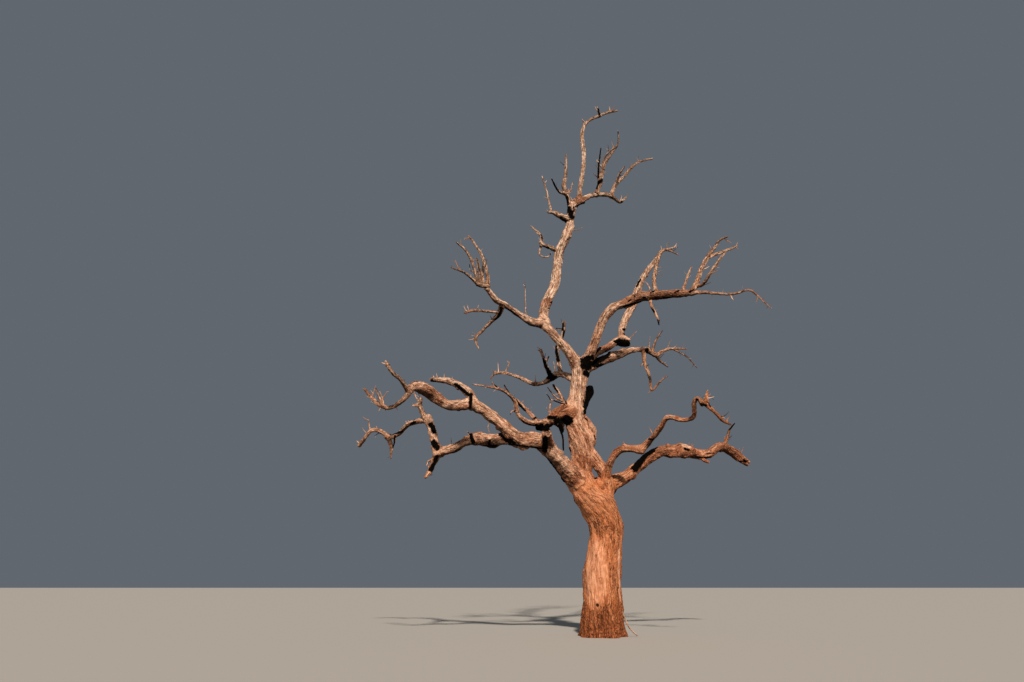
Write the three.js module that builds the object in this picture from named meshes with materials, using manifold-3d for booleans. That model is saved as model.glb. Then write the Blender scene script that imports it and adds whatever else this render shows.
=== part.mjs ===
// A bare, long dead hardwood tree of dry country, 13.3 m tall: one trunk that flares at the ground,
// crooked tapering boughs broken off at their ends, and twigs with no leaves.
// Millimetres, +Z up. The origin is the middle of the flat cut under the trunk.

import * as THREE from 'three';
import { mergeVertices } from 'three/addons/utils/BufferGeometryUtils.js';
import Module from 'manifold-3d';

const wasm = await Module();
wasm.setup();

// The tree is drawn as it is seen from one spot on open ground in front of it. A place on it is
// [across, down, depth]: where it is seen on a frame 1024 across and 682 down, and how far
// it lies behind the trunk's foot. A depth below 0 is nearer the eye.
const eyeDistance = 15150;
const eyeHeight = 1110;
const eyeLeft = 1840;
const eyePitch = THREE.MathUtils.degToRad(19.2);
const frameAcross = 1024;
const frameDown = 682;
const frameFocal = 683;

// The trunk's foot.
const trunkSides = 20;
const trunkRingPitch = 210;
const flareRoots = 5;
const flareSpread = 0.34;
const flareEven = 0.6;
const flareLobe = 0.4;
const flareHeight = 330;
const flareTurn = 0.25;
const fluteDepth = 0.025;
const fluteCount = 7;
const fluteTurnHeight = 5200;

// Clear gap between pieces that touch, and how closely a limb's rings follow each other.
const gap = 0.35;
const ringPitchByGirth = 1.2;
const leastRingPitch = 260;
const sidesByGirth = [
  { above: 240, sides: 10 },
  { above: 130, sides: 8 },
  { above: 100, sides: 6 },
  { above: 80, sides: 5 },
  { above: 0, sides: 4 },
];
const mostTwigSides = 6;
const spurSides = 3;

// Broken side twigs that stand off every twig.
const spurPitch = 560;
const shortestSpur = 80;
const longestSpur = 240;
const spurFirst = 0.2;
const spurReach = 0.75;
const spurFoot = 30;
const spurFootShare = 0.7;
const spurTip = 9;
const spurLean = THREE.MathUtils.degToRad(58);
const spurBend = 0.35;
const twigRoom = 140;

const sunlitWood = new THREE.MeshStandardMaterial({ color: '#c28a5c', roughness: 0.85, metalness: 0 });
const redWood = new THREE.MeshStandardMaterial({ color: '#b5683c', roughness: 0.88, metalness: 0 });
const greyTwig = new THREE.MeshStandardMaterial({ color: '#a98566', roughness: 0.9, metalness: 0 });

// A seeded draw between 0 and 1.
function drawer(seed) {
  const modulus = 2147483647;
  let state = seed * 7919 + 17;
  return () => {
    state = (state * 48271) % modulus;
    return state / modulus;
  };
}

function place([across, down, depth]) {
  const u = (across - frameAcross / 2) / frameFocal;
  const v = (frameDown / 2 - down) / frameFocal;
  const sight = (depth + eyeDistance) / (Math.cos(eyePitch) - v * Math.sin(eyePitch));
  const rise = Math.sin(eyePitch) + v * Math.cos(eyePitch);
  return new THREE.Vector3(sight * u - eyeLeft, depth, eyeHeight + sight * rise);
}

// A level direction square to the one given, or any square one if that stands upright.
function squareTo(along) {
  const side = new THREE.Vector3(-along.y, along.x, 0);
  return side.lengthSq() > 1e-6 ? side.normalize() : side.set(1, 0, 0);
}

// A limb's axis and its girth along it. A route's stations are [across, down, depth, girth].
class Limb {
  constructor(stations, sides) {
    this.places = stations.map((station) => (station.isVector3 ? station : place(station)));
    this.curve = new THREE.CatmullRomCurve3(this.places, false, 'centripetal');
    this.girths = stations.map((station) => station.girth ?? station[3]);
    this.sides = sides;
    this.length = this.curve.getLength();
  }

  girthAt(at) {
    const reach = at * (this.girths.length - 1);
    const from = Math.min(Math.floor(reach), this.girths.length - 2);
    return THREE.MathUtils.lerp(this.girths[from], this.girths[from + 1], reach - from);
  }

  // Where the rings stand, from 0 to 1: at every station, and evenly between two that lie far apart.
  marks(pitch) {
    const spans = this.places.length - 1;
    const marks = [0];
    for (let span = 0; span < spans; span++) {
      const apart = this.places[span].distanceTo(this.places[span + 1]);
      const parts = Math.max(1, Math.round(apart / pitch));
      for (let part = 1; part <= parts; part++) marks.push((span + part / parts) / spans);
    }
    return marks;
  }

  // A closed tube along the axis, swollen by some millimetres all over. Each ring is turned from the
  // last by no more than the bend between them.
  tube(swell = 0) {
    const marks = this.marks(Math.max(leastRingPitch, Math.max(...this.girths) * ringPitchByGirth));
    const rings = marks.length - 1;
    const along = marks.map((at) => this.curve.getTangent(at));
    const across = [squareTo(along[0])];
    for (let ring = 1; ring <= rings; ring++) {
      const turn = new THREE.Quaternion().setFromUnitVectors(along[ring - 1], along[ring]);
      across.push(across[ring - 1].clone().applyQuaternion(turn));
    }
    return bend(this.sides, rings, (ring, angle, edge) => {
      const radius = edge * (this.girthAt(marks[ring]) / 2 + swell);
      const ends = (ring === rings) - (ring === 0);
      return this.curve
        .getPoint(marks[ring])
        .addScaledVector(along[ring], ends * swell)
        .addScaledVector(along[ring].clone().cross(across[ring]), Math.cos(angle) * radius)
        .addScaledVector(across[ring], Math.sin(angle) * radius);
    });
  }
}

// Bends a cylinder's rings to where the shape function puts them, and makes it a solid.
function bend(sides, rings, shape) {
  const cylinder = new THREE.CylinderGeometry(1, 1, 1, sides, rings);
  const corners = cylinder.attributes.position;
  for (let i = 0; i < corners.count; i++) {
    const edge = Math.round(Math.hypot(corners.getX(i), corners.getZ(i)));
    const turned = Math.atan2(corners.getX(i), corners.getZ(i)) / (2 * Math.PI);
    const side = (Math.round(turned * sides) + sides) % sides;
    const ring = Math.round((0.5 - corners.getY(i)) * rings);
    const at = shape(ring, (side / sides) * 2 * Math.PI, edge);
    corners.setXYZ(i, at.x, at.y, at.z);
  }
  return solidOf(cylinder);
}

function solidOf(geometry) {
  geometry.deleteAttribute('normal');
  geometry.deleteAttribute('uv');
  const merged = mergeVertices(geometry);
  return new wasm.Manifold(
    new wasm.Mesh({
      numProp: 3,
      vertProperties: merged.attributes.position.array,
      triVerts: new Uint32Array(merged.index.array),
    }),
  );
}

// The trunk's rings stay level, so that it starts at a flat cut on the ground. The foot flares into
// root spurs, and shallow flutes wind up the stem with the grain.
function trunkColumn(limb, swell) {
  const marks = limb.marks(trunkRingPitch);
  const rings = marks.length - 1;
  return bend(limb.sides, rings, (ring, angle, edge) => {
    const at = marks[ring];
    const point = limb.curve.getPoint(at);
    const root = flareEven + flareLobe * Math.cos(flareRoots * (angle - flareTurn));
    const flare = flareSpread * root * Math.exp(-point.z / flareHeight);
    const wind = angle - (point.z / fluteTurnHeight) * 2 * Math.PI;
    const flute = fluteDepth * Math.cos(fluteCount * wind);
    const radius = edge * ((limb.girthAt(at) / 2) * (1 + flare + flute) + swell);
    const ends = (ring === rings) - (ring === 0);
    point.x += Math.sin(angle) * radius;
    point.y += Math.cos(angle) * radius;
    point.z += ends * swell;
    return point;
  });
}

const groundFoot = Object.assign(new THREE.Vector3(0, 0, 0), { girth: 800 });
const trunkLimb = new Limb(
  [
    groundFoot, [602.3, 600, 0, 785], [602.3, 568, 10, 770], [606.2, 536, 30, 698],
    [603.8, 520, 20, 755], [594.5, 501, 0, 850], [585.8, 487, -20, 630], [581.5, 473, -35, 460],
    [582, 456, -60, 480], [580, 438, -80, 520], [575.5, 420, -90, 390], [574.8, 409, -90, 410],
    [577.5, 392, -70, 350], [580, 376, -40, 385], [581.5, 364, -20, 370],
  ],
  trunkSides,
);
// A buttress leaves the stem's right side and joins it again round a small eye.
const buttress = new Limb(
  [
    [598, 506, -40, 420], [606, 491, -60, 290], [604.8, 478, -80, 250], [598.5, 465, -75, 270],
    [590, 454, -65, 270], [584, 443, -60, 180],
  ],
  10,
);
// The collar that is left where a big bough broke away, and a burr on the stem's right side.
const collar = new Limb(
  [[580, 411, -60, 300], [568, 413.5, -130, 420], [557.5, 416, -210, 330], [549.5, 417.5, -260, 140]],
  10,
);
const burr = new Limb(
  [[586, 452, -60, 120], [589.5, 440, -80, 300], [589, 428, -80, 290], [586, 418, -80, 120]],
  8,
);

function trunkSolid(swell) {
  const column = trunkColumn(trunkLimb, swell);
  return [buttress, collar, burr].reduce((stem, limb) => stem.add(limb.tube(swell)), column);
}

// Boughs in the order in which they leave the trunk and each other, from the ground up.
const boughs = {
  low_right_bough: [
    [596, 489, -20, 330], [613, 483, 130, 305], [630, 473.5, 330, 250], [646, 460, 450, 226],
    [660, 451.5, 520, 232], [672, 451.8, 640, 270], [682, 451, 780, 335], [692, 452.5, 900, 262],
    [700, 454.8, 950, 192],
  ],
  low_right_arm: [
    [699, 454.6, 945, 184], [708, 454, 1000, 180], [720, 446.7, 1180, 205], [730, 450.5, 1420, 235],
    [739, 457.5, 1550, 205], [748, 463.5, 1520, 125],
  ],
  low_right_arch: [
    [605, 482, -90, 165], [607.3, 471, -220, 150], [611.5, 459.5, -400, 138], [620, 449.8, -540, 148],
    [631, 448.5, -680, 150], [642, 450.2, -760, 150],
  ],
  low_right_arch_arm: [
    [640.5, 450, -750, 144], [648, 442, -880, 124], [655, 435, -1100, 118], [661.3, 426, -1350, 108],
    [667.5, 417.5, -1520, 108], [677, 418.2, -1600, 88],
  ],
  low_left_bough: [
    [585, 488, -30, 430], [565.5, 468, -330, 360], [551.5, 453.5, -620, 325], [539, 441, -860, 335],
    [519, 438.5, -1040, 272], [503, 425.5, -1120, 235], [484, 410.8, -1230, 222], [471, 403, -1350, 205],
  ],
  low_left_arm: [
    [472, 403.2, -1340, 198], [459, 405, -1480, 185], [447.5, 404.8, -1620, 200],
    [439.5, 400, -1700, 222], [431, 392.5, -1800, 238], [421.5, 387.3, -1980, 240],
    [414, 387, -2100, 185], [409.5, 389.5, -2140, 122],
  ],
  left_upper_bough: [
    [475, 407, -1310, 180], [470, 394.5, -1240, 172], [459.5, 386, -1060, 160], [447, 380.8, -840, 138],
    [431.5, 379.5, -620, 92],
  ],
  left_lower_bough: [
    [524, 442, -960, 240], [505, 438.5, -620, 225], [490, 440.7, -330, 305], [478, 439.3, -100, 262],
    [468, 441, 90, 205], [456, 447, 330, 200], [438, 452.7, 500, 188],
  ],
  left_riser: [
    [438.5, 456, 490, 180], [435.3, 443.5, 560, 172], [432.3, 430, 650, 188], [427, 416.5, 620, 180],
  ],
  left_reach: [
    [429.5, 418.5, 615, 140], [415.5, 422, 820, 122], [406, 426, 1080, 118], [399.5, 433, 1260, 112],
    [388.5, 438.3, 1340, 106],
  ],
  broken_collar_bough: [
    [556, 419, -220, 150], [545, 421.7, -330, 130], [532, 423.3, -500, 130], [521, 417.8, -610, 105],
    [516, 411, -580, 88],
  ],
  dark_stub: [[583, 420, 60, 150], [586.8, 405, 160, 120], [589.8, 393.5, 220, 172], [588.8, 384, 200, 150]],
  mid_left_bough: [
    [577, 381, 40, 150], [565, 375, 260, 140], [558, 374.5, 430, 150], [551, 378, 600, 190],
    [545, 382, 760, 105], [533, 383.5, 1120, 96], [520, 377.3, 1330, 80],
  ],
  upper_left_bough: [
    [581, 371, -20, 270], [572, 357.5, -150, 225], [562, 344, -290, 205], [550.5, 331, -330, 205],
    [542.5, 321, -300, 210],
  ],
  upper_left_arm: [
    [544, 323.5, -290, 185], [531, 321.8, -430, 172], [518.5, 314.3, -560, 142],
    [505.5, 305.3, -760, 136], [496, 299.5, -960, 130], [487.3, 288.5, -1100, 116],
  ],
  leader_bough: [
    [543.2, 322, -300, 205], [545.5, 306, -210, 222], [554.5, 286, -60, 232], [557.2, 268, 0, 230],
    [558.3, 255, -30, 228], [565.5, 238, -120, 208], [570.3, 224, -70, 205], [571.2, 207, 90, 182],
  ],
  top_right_bough: [
    [571.2, 208.8, 80, 172], [575, 203, 100, 195], [583, 199.5, 200, 150], [591, 195.5, 400, 122],
    [604, 194.2, 600, 102],
  ],
  tall_leader: [
    [579, 202, 150, 135], [580, 188, 80, 118], [582.7, 172, 0, 102], [583.7, 152, -40, 102],
    [582, 135, 60, 96], [584.5, 124, 150, 78],
  ],
  right_arch: [
    [582, 369, -30, 270], [590, 352.5, -220, 225], [596.3, 338, -420, 200], [603.5, 319.8, -570, 195],
    [613, 308, -650, 190], [630, 301.6, -720, 200],
  ],
  right_arch_arm: [
    [628.5, 302, -712, 190], [640, 297.4, -850, 212], [653, 295.4, -1050, 208], [667, 294.2, -1220, 182],
    [681, 293.5, -1320, 162], [693, 292.8, -1350, 108],
  ],
  right_mid_bough: [
    [585, 369, 20, 190], [601, 361.3, 170, 200], [612, 356.7, 380, 232], [622, 353, 620, 190],
    [630, 350.5, 740, 135], [640, 349.3, 840, 112], [649, 350, 950, 146],
  ],
  right_back_bough: [
    [584, 363, 40, 200], [598, 352.5, 300, 162], [608, 347, 520, 160], [617, 341.5, 740, 190],
    [626, 341.5, 880, 232],
  ],
  right_back_arm: [
    [624, 343, 860, 200], [621.5, 333, 960, 170], [625, 320, 1060, 168], [633, 304, 1150, 188],
    [638, 290, 1280, 184], [643.3, 277, 1450, 150], [651.5, 265, 1600, 122], [658, 257, 1600, 106],
  ],
};

// Masses of bare twigs. Each grows from one stem that starts in the limb that carries it. Its forks
// leave the stem, and short broken spurs leave both by the seeded rule below.
const masses = {
  low_right_tip_twigs: {
    stem: [[724, 448, 1280, 90], [727, 438, 1200, 66], [730, 429, 1100, 50], [735, 423, 1020, 24]],
    forks: [[[725.5, 443, 1240, 44], [725, 437, 1350, 24]]],
  },
  low_right_arch_twigs: {
    stem: [
      [675, 418.2, -1580, 80], [685, 420.3, -1640, 82], [693.5, 417, -1790, 88], [694.2, 403, -2030, 96],
      [697, 398.5, -2130, 80], [704, 403, -2200, 100], [716.5, 414, -2180, 64], [723, 420.7, -2080, 66],
      [731, 424.7, -1960, 34],
    ],
    forks: [[[706, 403, -2195, 84], [706.5, 397, -2160, 70], [708, 390, -2060, 26]]],
  },
  low_left_tip_twigs: {
    stem: [
      [411, 388.7, -2120, 104], [403.5, 399.5, -2080, 92], [391, 407.3, -1850, 82],
      [381, 406, -1640, 84], [371, 397, -1530, 76], [364, 388.3, -1580, 48],
    ],
    forks: [
      [
        [408.5, 391, -2130, 84], [400, 379.5, -2400, 75], [390, 369.5, -2620, 68],
        [386, 361.5, -2660, 48],
      ],
      [[382.5, 406, -1660, 60], [379, 397, -1720, 48], [375.5, 388, -1850, 26]],
    ],
  },
  left_drop_twigs: {
    stem: [[438, 453, 490, 140], [434, 462, 520, 128], [430, 471, 430, 112], [425, 478, 330, 66]],
    forks: [[[435, 458, 510, 44], [428, 462, 620, 40], [429, 470, 700, 22]]],
  },
  left_riser_twigs: {
    stem: [[426, 419, 620, 112], [420.5, 408, 560, 105], [421, 397, 420, 76]],
    forks: [
      [[420, 406, 550, 60], [412, 406, 430, 36]],
      [[419.8, 403, 500, 40], [416, 397, 620, 34], [413, 390, 700, 22]],
    ],
  },
  left_reach_twigs: {
    stem: [
      [390.5, 437.6, 1325, 96], [379.5, 431, 1400, 110], [371, 430.5, 1340, 98], [365, 438, 1420, 92],
      [358.7, 446.3, 1620, 96],
    ],
    forks: [
      [[386, 435.5, 1350, 96], [390.5, 443, 1460, 100], [391, 459, 1560, 28]],
      [[370.5, 431.5, 1345, 44], [368, 419, 1220, 22]],
    ],
  },
  broken_bough_twigs: {
    stem: [
      [516.8, 412.3, -585, 80], [515.5, 403, -640, 82], [507.5, 393.3, -840, 66],
      [497, 388.5, -1040, 48], [484, 386, -1120, 36], [472, 384, -1060, 24],
    ],
    forks: [
      [[509.5, 395.3, -790, 50], [504, 385, -900, 28]],
      [[499.5, 389.5, -1000, 40], [492, 383, -900, 24]],
    ],
  },
  broken_bough_fork: {
    stem: [[538, 422.5, -420, 90], [528, 411.5, -330, 86], [521, 405, -210, 95], [516, 399, -60, 58]],
    forks: [],
  },
  collar_twigs: {
    stem: [[567, 411, -150, 80], [561, 396, -60, 72], [555.5, 388, 80, 64], [553, 384.5, 260, 48]],
    forks: [
      [[563, 401, -100, 46], [556, 397.5, -220, 38], [547.5, 387, -380, 20]],
      [[564, 404, -115, 40], [552, 400, -300, 22]],
    ],
  },
  knot_twigs: {
    stem: [[552, 379, 590, 100], [546, 366, 700, 95], [542, 353, 740, 60], [541, 349, 720, 38]],
    forks: [[[545, 363, 705, 54], [549, 356, 600, 28]], [[542, 354, 738, 40], [538, 349, 850, 24]]],
  },
  rising_twigs: {
    stem: [
      [561, 375, 370, 95], [558, 360, 400, 92], [557, 348, 480, 90], [563, 334, 560, 88],
      [564, 321, 520, 76],
    ],
    forks: [[[563.5, 330, 550, 52], [555, 328, 680, 26]]],
  },
  mid_left_twigs: {
    stem: [[521.3, 378, 1310, 74], [504, 373, 1600, 72], [495, 374, 1580, 50], [490, 379, 1440, 28]],
    forks: [[[505, 373.2, 1590, 44], [510, 362, 1760, 22]], [[500, 373, 1600, 44], [493, 371, 1800, 26]]],
  },
  left_hanging_twigs: {
    stem: [
      [502.5, 305, -800, 108], [499, 314, -700, 104], [490, 323, -520, 80], [482, 331, -380, 66],
      [475.5, 338, -320, 72], [479, 350, -240, 22],
    ],
    forks: [
      [[499, 312.5, -715, 62], [484, 310.8, -1000, 58], [471, 310.8, -1300, 64], [464, 313, -1420, 38]],
    ],
  },
  left_whip_twig: {
    stem: [[526, 319, -490, 36], [525.5, 300, -420, 24], [525, 282, -460, 14]],
    forks: [],
  },
  left_hand_twigs: {
    stem: [
      [487.3, 290, -1094, 94], [488, 279.5, -1170, 84], [485, 265, -1210, 76], [480, 252, -1150, 62],
      [472, 240, -1040, 42], [468.5, 235.5, -1000, 28],
    ],
    forks: [
      [
        [487.7, 286.5, -1125, 84], [477, 283.5, -1290, 92], [476, 275, -1400, 66], [467, 252, -1640, 56],
        [456, 242, -1780, 32],
      ],
      [[484, 286, -1160, 60], [483, 275, -1060, 56], [483, 262, -930, 38]],
      [[480, 284.8, -1240, 74], [480, 271, -1380, 66], [477, 258, -1560, 32]],
      [[478, 284.5, -1270, 70], [466, 273.5, -1540, 56], [451, 267.3, -1900, 30]],
    ],
  },
  leader_side_twigs: {
    stem: [
      [560, 252, -40, 110], [549, 247, -200, 90], [541.5, 243.5, -330, 96], [541, 236, -300, 64],
      [531, 226, -160, 32],
    ],
    forks: [[[541, 245, -325, 50], [540, 255, -420, 40], [547, 257, -440, 34], [551, 253, -330, 26]]],
  },
  crown_stub_twigs: {
    stem: [[571, 221, -40, 150], [560, 216, -180, 138], [553, 212.5, -260, 90], [547, 212, -280, 48]],
    forks: [[[551.5, 212.5, -265, 60], [547.5, 195, -150, 50], [542, 176, -20, 26]]],
  },
  crown_left_twigs: {
    stem: [
      [570.7, 207.5, 85, 110], [567, 196, -20, 104], [564, 186, -120, 110], [565.7, 174, -100, 84],
      [566, 154, -200, 42],
    ],
    forks: [
      [[566, 194, -40, 84], [558.5, 191, -240, 62], [551, 178, -520, 28]],
      [[567, 195, -30, 56], [570.5, 190, 80, 44], [573, 182, 220, 26]],
    ],
  },
  crown_mid_twigs: {
    stem: [
      [596, 195, 480, 110], [600, 183, 600, 118], [602.5, 171, 740, 100], [606, 161.5, 800, 84],
      [614, 150, 760, 62], [618, 143, 680, 48], [618, 130, 620, 24],
    ],
    forks: [
      [[601.5, 178, 660, 56], [604.5, 158, 460, 48], [616, 146, 260, 36]],
      [[599, 186, 570, 70], [598.5, 168, 380, 60], [601, 148, 300, 26]],
    ],
  },
  crown_right_twigs: {
    stem: [[603.3, 194.2, 590, 96], [612, 196.5, 760, 92], [620, 202, 960, 90], [627, 196, 1120, 36]],
    forks: [
      [
        [611, 196.5, 740, 92], [615, 186, 900, 104], [624, 176.5, 960, 80], [637, 163, 1220, 64],
        [653, 158.5, 1560, 42],
      ],
      [[615, 187, 890, 66], [619, 175, 700, 56], [625, 166, 540, 28]],
    ],
  },
  leader_tip_twigs: {
    stem: [
      [584.2, 125.5, 140, 72], [588, 121.3, 160, 66], [600, 115.7, 300, 78], [610, 112, 500, 66],
      [618, 110.5, 560, 40],
    ],
    forks: [[[599, 116, 285, 44], [597, 107, 340, 24]], [[585.5, 123.5, 150, 44], [582, 119.5, 60, 24]]],
  },
  right_crest_twigs: {
    stem: [
      [690.5, 293, -1345, 106], [696, 284, -1260, 112], [700.5, 271.5, -1080, 104],
      [706, 260, -920, 104], [713.5, 248.5, -840, 68], [720, 240, -880, 50], [728, 236.5, -980, 34],
    ],
    forks: [
      [[708, 257, -900, 76], [722, 252, -640, 66], [737, 246, -420, 44]],
      [
        [695.5, 285.5, -1270, 84], [702, 285, -1480, 72], [710, 273.5, -1700, 70], [719, 260, -1780, 56],
        [726, 252, -1720, 38],
      ],
    ],
  },
  right_whip_twigs: {
    stem: [
      [692, 292.9, -1346, 90], [703, 292.4, -1480, 70], [720, 293.8, -1700, 58], [735, 293.8, -1980, 50],
      [749, 290, -2160, 42], [760, 298, -2200, 34], [772, 309, -2340, 20],
    ],
    forks: [],
  },
  right_arch_spur: {
    stem: [[682, 293.5, -1320, 70], [687, 278, -1180, 60], [692, 266, -1120, 28]],
    forks: [],
  },
  arch_riser_twigs: {
    stem: [[656, 295, -1090, 95], [654, 280, -1000, 84], [656.5, 266, -820, 76], [660, 255, -700, 60]],
    forks: [],
  },
  arch_hanging_twigs: {
    stem: [[649, 296, -990, 80], [652, 307, -1120, 66], [657.5, 318, -1300, 50], [659, 325, -1420, 24]],
    forks: [],
  },
  right_back_twigs: {
    stem: [
      [657.3, 257.7, 1600, 94], [662.5, 250.5, 1560, 84], [668, 249.5, 1700, 74], [676, 247, 1920, 40],
    ],
    forks: [[[668, 249.7, 1690, 56], [679, 255, 1780, 26]]],
  },
  right_mid_twigs: {
    stem: [
      [648, 350, 935, 118], [656, 355, 1060, 116], [664, 350.3, 1120, 80], [675, 348.5, 1260, 60],
      [687, 349, 1280, 34],
    ],
    forks: [
      [[652, 353, 1000, 64], [657, 338, 820, 46], [663, 330, 680, 22]],
      [[673, 348.7, 1235, 48], [687, 357, 1460, 36], [697, 368, 1640, 18]],
      [[655, 355, 1045, 70], [660, 361, 1240, 60], [668, 367, 1500, 32]],
    ],
  },
  right_hanging_twigs: {
    stem: [
      [643, 349, 870, 95], [645, 363, 800, 84], [649.5, 377, 640, 72], [652, 390.5, 520, 46],
      [659, 382.5, 400, 36], [668, 375.5, 260, 24],
    ],
    forks: [],
  },
};

// A side twig that leaves a limb at a draw of places, leans towards its tip and bends upwards.
function spursOf(limb, draw) {
  const spurs = [];
  const count = Math.round(limb.length / spurPitch);
  for (let n = 0; n < count; n++) {
    const at = spurFirst + (spurReach * (n + draw())) / count;
    const turn = 2 * Math.PI * draw();
    const length = THREE.MathUtils.lerp(shortestSpur, longestSpur, draw());
    const root = limb.curve.getPoint(at);
    const along = limb.curve.getTangent(at);
    const out = squareTo(along).applyAxisAngle(along, turn);
    const aim = along.clone().multiplyScalar(Math.cos(spurLean)).addScaledVector(out, Math.sin(spurLean));
    const middle = root.clone().addScaledVector(aim, length / 2);
    const tip = root.clone().addScaledVector(aim, length);
    tip.z += length * spurBend * draw();
    root.girth = Math.min(spurFoot, limb.girthAt(at) * spurFootShare);
    middle.girth = (root.girth + spurTip) / 2;
    tip.girth = spurTip;
    spurs.push(new Limb([root, middle, tip], spurSides));
  }
  return spurs;
}

function boxOf(solid) {
  const { min, max } = solid.boundingBox();
  return new THREE.Box3(new THREE.Vector3(...min), new THREE.Vector3(...max));
}

const largestBody = (solid) =>
  solid.decompose().reduce((largest, body) => (body.volume() > largest.volume() ? body : largest));

// Cuts a solid clear of its neighbours' swollen forms and keeps its largest piece.
function cutClear(solid, neighbours) {
  const box = boxOf(solid);
  const near = neighbours.filter((neighbour) => neighbour.box.intersectsBox(box));
  return largestBody(near.reduce((left, neighbour) => left.subtract(neighbour.swollen), solid));
}

const touches = (solid, others) => {
  const box = boxOf(solid);
  return others.some((other) => other.box.intersectsBox(box) && !solid.intersect(other.swollen).isEmpty());
};

// The thicker a limb is, the more sides its tube has.
function sidesFor(stations) {
  const girth = Math.max(...stations.map((station) => station[3]));
  const step = sidesByGirth.find(({ above }) => girth > above);
  return step.sides;
}

const tree = new THREE.Group();
const placed = [];

function put(name, solid, swollen, material) {
  const { vertProperties, triVerts } = solid.getMesh();
  const geometry = new THREE.BufferGeometry();
  geometry.setAttribute('position', new THREE.BufferAttribute(vertProperties, 3));
  geometry.setIndex(new THREE.BufferAttribute(triVerts, 1));
  geometry.computeVertexNormals();
  const mesh = new THREE.Mesh(geometry, material);
  mesh.name = name;
  tree.add(mesh);
  placed.push({ name, swollen, box: boxOf(swollen) });
}

put('trunk', trunkSolid(0), trunkSolid(gap), redWood);

for (const [name, stations] of Object.entries(boughs)) {
  const limb = new Limb(stations, sidesFor(stations));
  put(name, cutClear(limb.tube(), placed), limb.tube(gap), sunlitWood);
}

// Stems and forks first, so that no spur stands where another mass's twig passes.
const grown = Object.entries(masses).map(([name, { stem, forks }]) => {
  const limbs = [stem, ...forks].map((stations) => {
    return new Limb(stations, Math.min(mostTwigSides, sidesFor(stations)));
  });
  const [stemSolid, ...forkSolids] = limbs.map((limb) => limb.tube());
  const swollenForks = limbs.slice(1).map((limb) => limb.tube(gap));
  const solid = cutClear(forkSolids.reduce((whole, fork) => whole.add(fork), stemSolid), placed);
  const swollen = swollenForks.reduce((whole, fork) => whole.add(fork), limbs[0].tube(gap));
  placed.push({ name, swollen, box: boxOf(swollen) });
  return { name, limbs, solid, swollen };
});

// A spur that would leave the mass's own space, or touch a limb or another mass, is skipped.
grown.forEach(({ name, limbs, solid, swollen }, order) => {
  const draw = drawer(order + 1);
  const space = boxOf(solid).expandByScalar(twigRoom);
  const others = placed.filter((piece) => piece.name !== name);
  let whole = solid;
  let wholeSwollen = swollen;
  for (const spur of limbs.flatMap((limb) => spursOf(limb, draw))) {
    const twig = spur.tube();
    if (!space.containsBox(boxOf(twig)) || touches(twig, others)) continue;
    if (solid.intersect(twig).isEmpty()) continue;
    whole = whole.add(twig);
    wholeSwollen = wholeSwollen.add(spur.tube(gap));
  }
  placed.splice(placed.findIndex((piece) => piece.name === name), 1);
  put(name, largestBody(whole), wholeSwollen, greyTwig);
});

export default tree;
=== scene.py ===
import math

import bmesh
import bpy
import numpy as np
from mathutils import Matrix, Vector, noise
from mathutils.bvhtree import BVHTree
from mathutils.kdtree import KDTree


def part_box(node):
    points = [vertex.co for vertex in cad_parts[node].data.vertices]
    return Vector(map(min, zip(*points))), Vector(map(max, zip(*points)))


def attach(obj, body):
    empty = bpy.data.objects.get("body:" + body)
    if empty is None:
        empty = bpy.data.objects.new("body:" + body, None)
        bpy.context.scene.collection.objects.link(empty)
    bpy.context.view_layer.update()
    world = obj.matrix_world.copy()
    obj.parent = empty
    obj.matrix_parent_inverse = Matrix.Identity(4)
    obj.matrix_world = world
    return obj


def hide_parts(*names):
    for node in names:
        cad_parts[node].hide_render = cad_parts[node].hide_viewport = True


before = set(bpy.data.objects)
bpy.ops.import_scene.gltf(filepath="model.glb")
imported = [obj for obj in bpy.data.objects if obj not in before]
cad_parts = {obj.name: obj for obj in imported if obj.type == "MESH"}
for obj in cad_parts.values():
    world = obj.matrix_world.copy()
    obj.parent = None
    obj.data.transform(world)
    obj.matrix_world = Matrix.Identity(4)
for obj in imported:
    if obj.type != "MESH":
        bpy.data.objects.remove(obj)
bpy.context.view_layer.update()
scene = bpy.context.scene

# The spot that the tree is seen from: open ground in front of it, low down, through a wide lens that
# is tilted up at the crown. A station on the tree is [across, down, depth, girth]: where it is seen
# on this view's frame, and in mm how far behind the trunk's foot it lies and how thick the wood is.
MM = 0.001
EYE_DISTANCE = 15150
EYE_HEIGHT = 1110
EYE_LEFT = 1840
EYE_PITCH = math.radians(19.2)
FRAME_ACROSS = 1024
FRAME_DOWN = 682
FRAME_FOCAL = 683
SENSOR_MM = 36
VIEW_REACH = 300

lens = bpy.data.cameras.new("low_eye")
lens.sensor_width = SENSOR_MM
lens.lens = SENSOR_MM * FRAME_FOCAL / FRAME_ACROSS
lens.clip_end = VIEW_REACH
eye = bpy.data.objects.new("low_eye", lens)
eye.location = Vector((-EYE_LEFT, -EYE_DISTANCE, EYE_HEIGHT)) * MM
eye.rotation_euler = (math.pi / 2 + EYE_PITCH, 0, 0)
scene.collection.objects.link(eye)
scene.camera = eye


def place(across, down, depth):
    """The place on the tree, in metres, that is seen there on the frame and lies so deep."""
    u = (across - FRAME_ACROSS / 2) / FRAME_FOCAL
    v = (FRAME_DOWN / 2 - down) / FRAME_FOCAL
    sight = (depth + EYE_DISTANCE) / (math.cos(EYE_PITCH) - v * math.sin(EYE_PITCH))
    rise = math.sin(EYE_PITCH) + v * math.cos(EYE_PITCH)
    return np.array((sight * u - EYE_LEFT, depth, EYE_HEIGHT + sight * rise)) * MM


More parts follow.
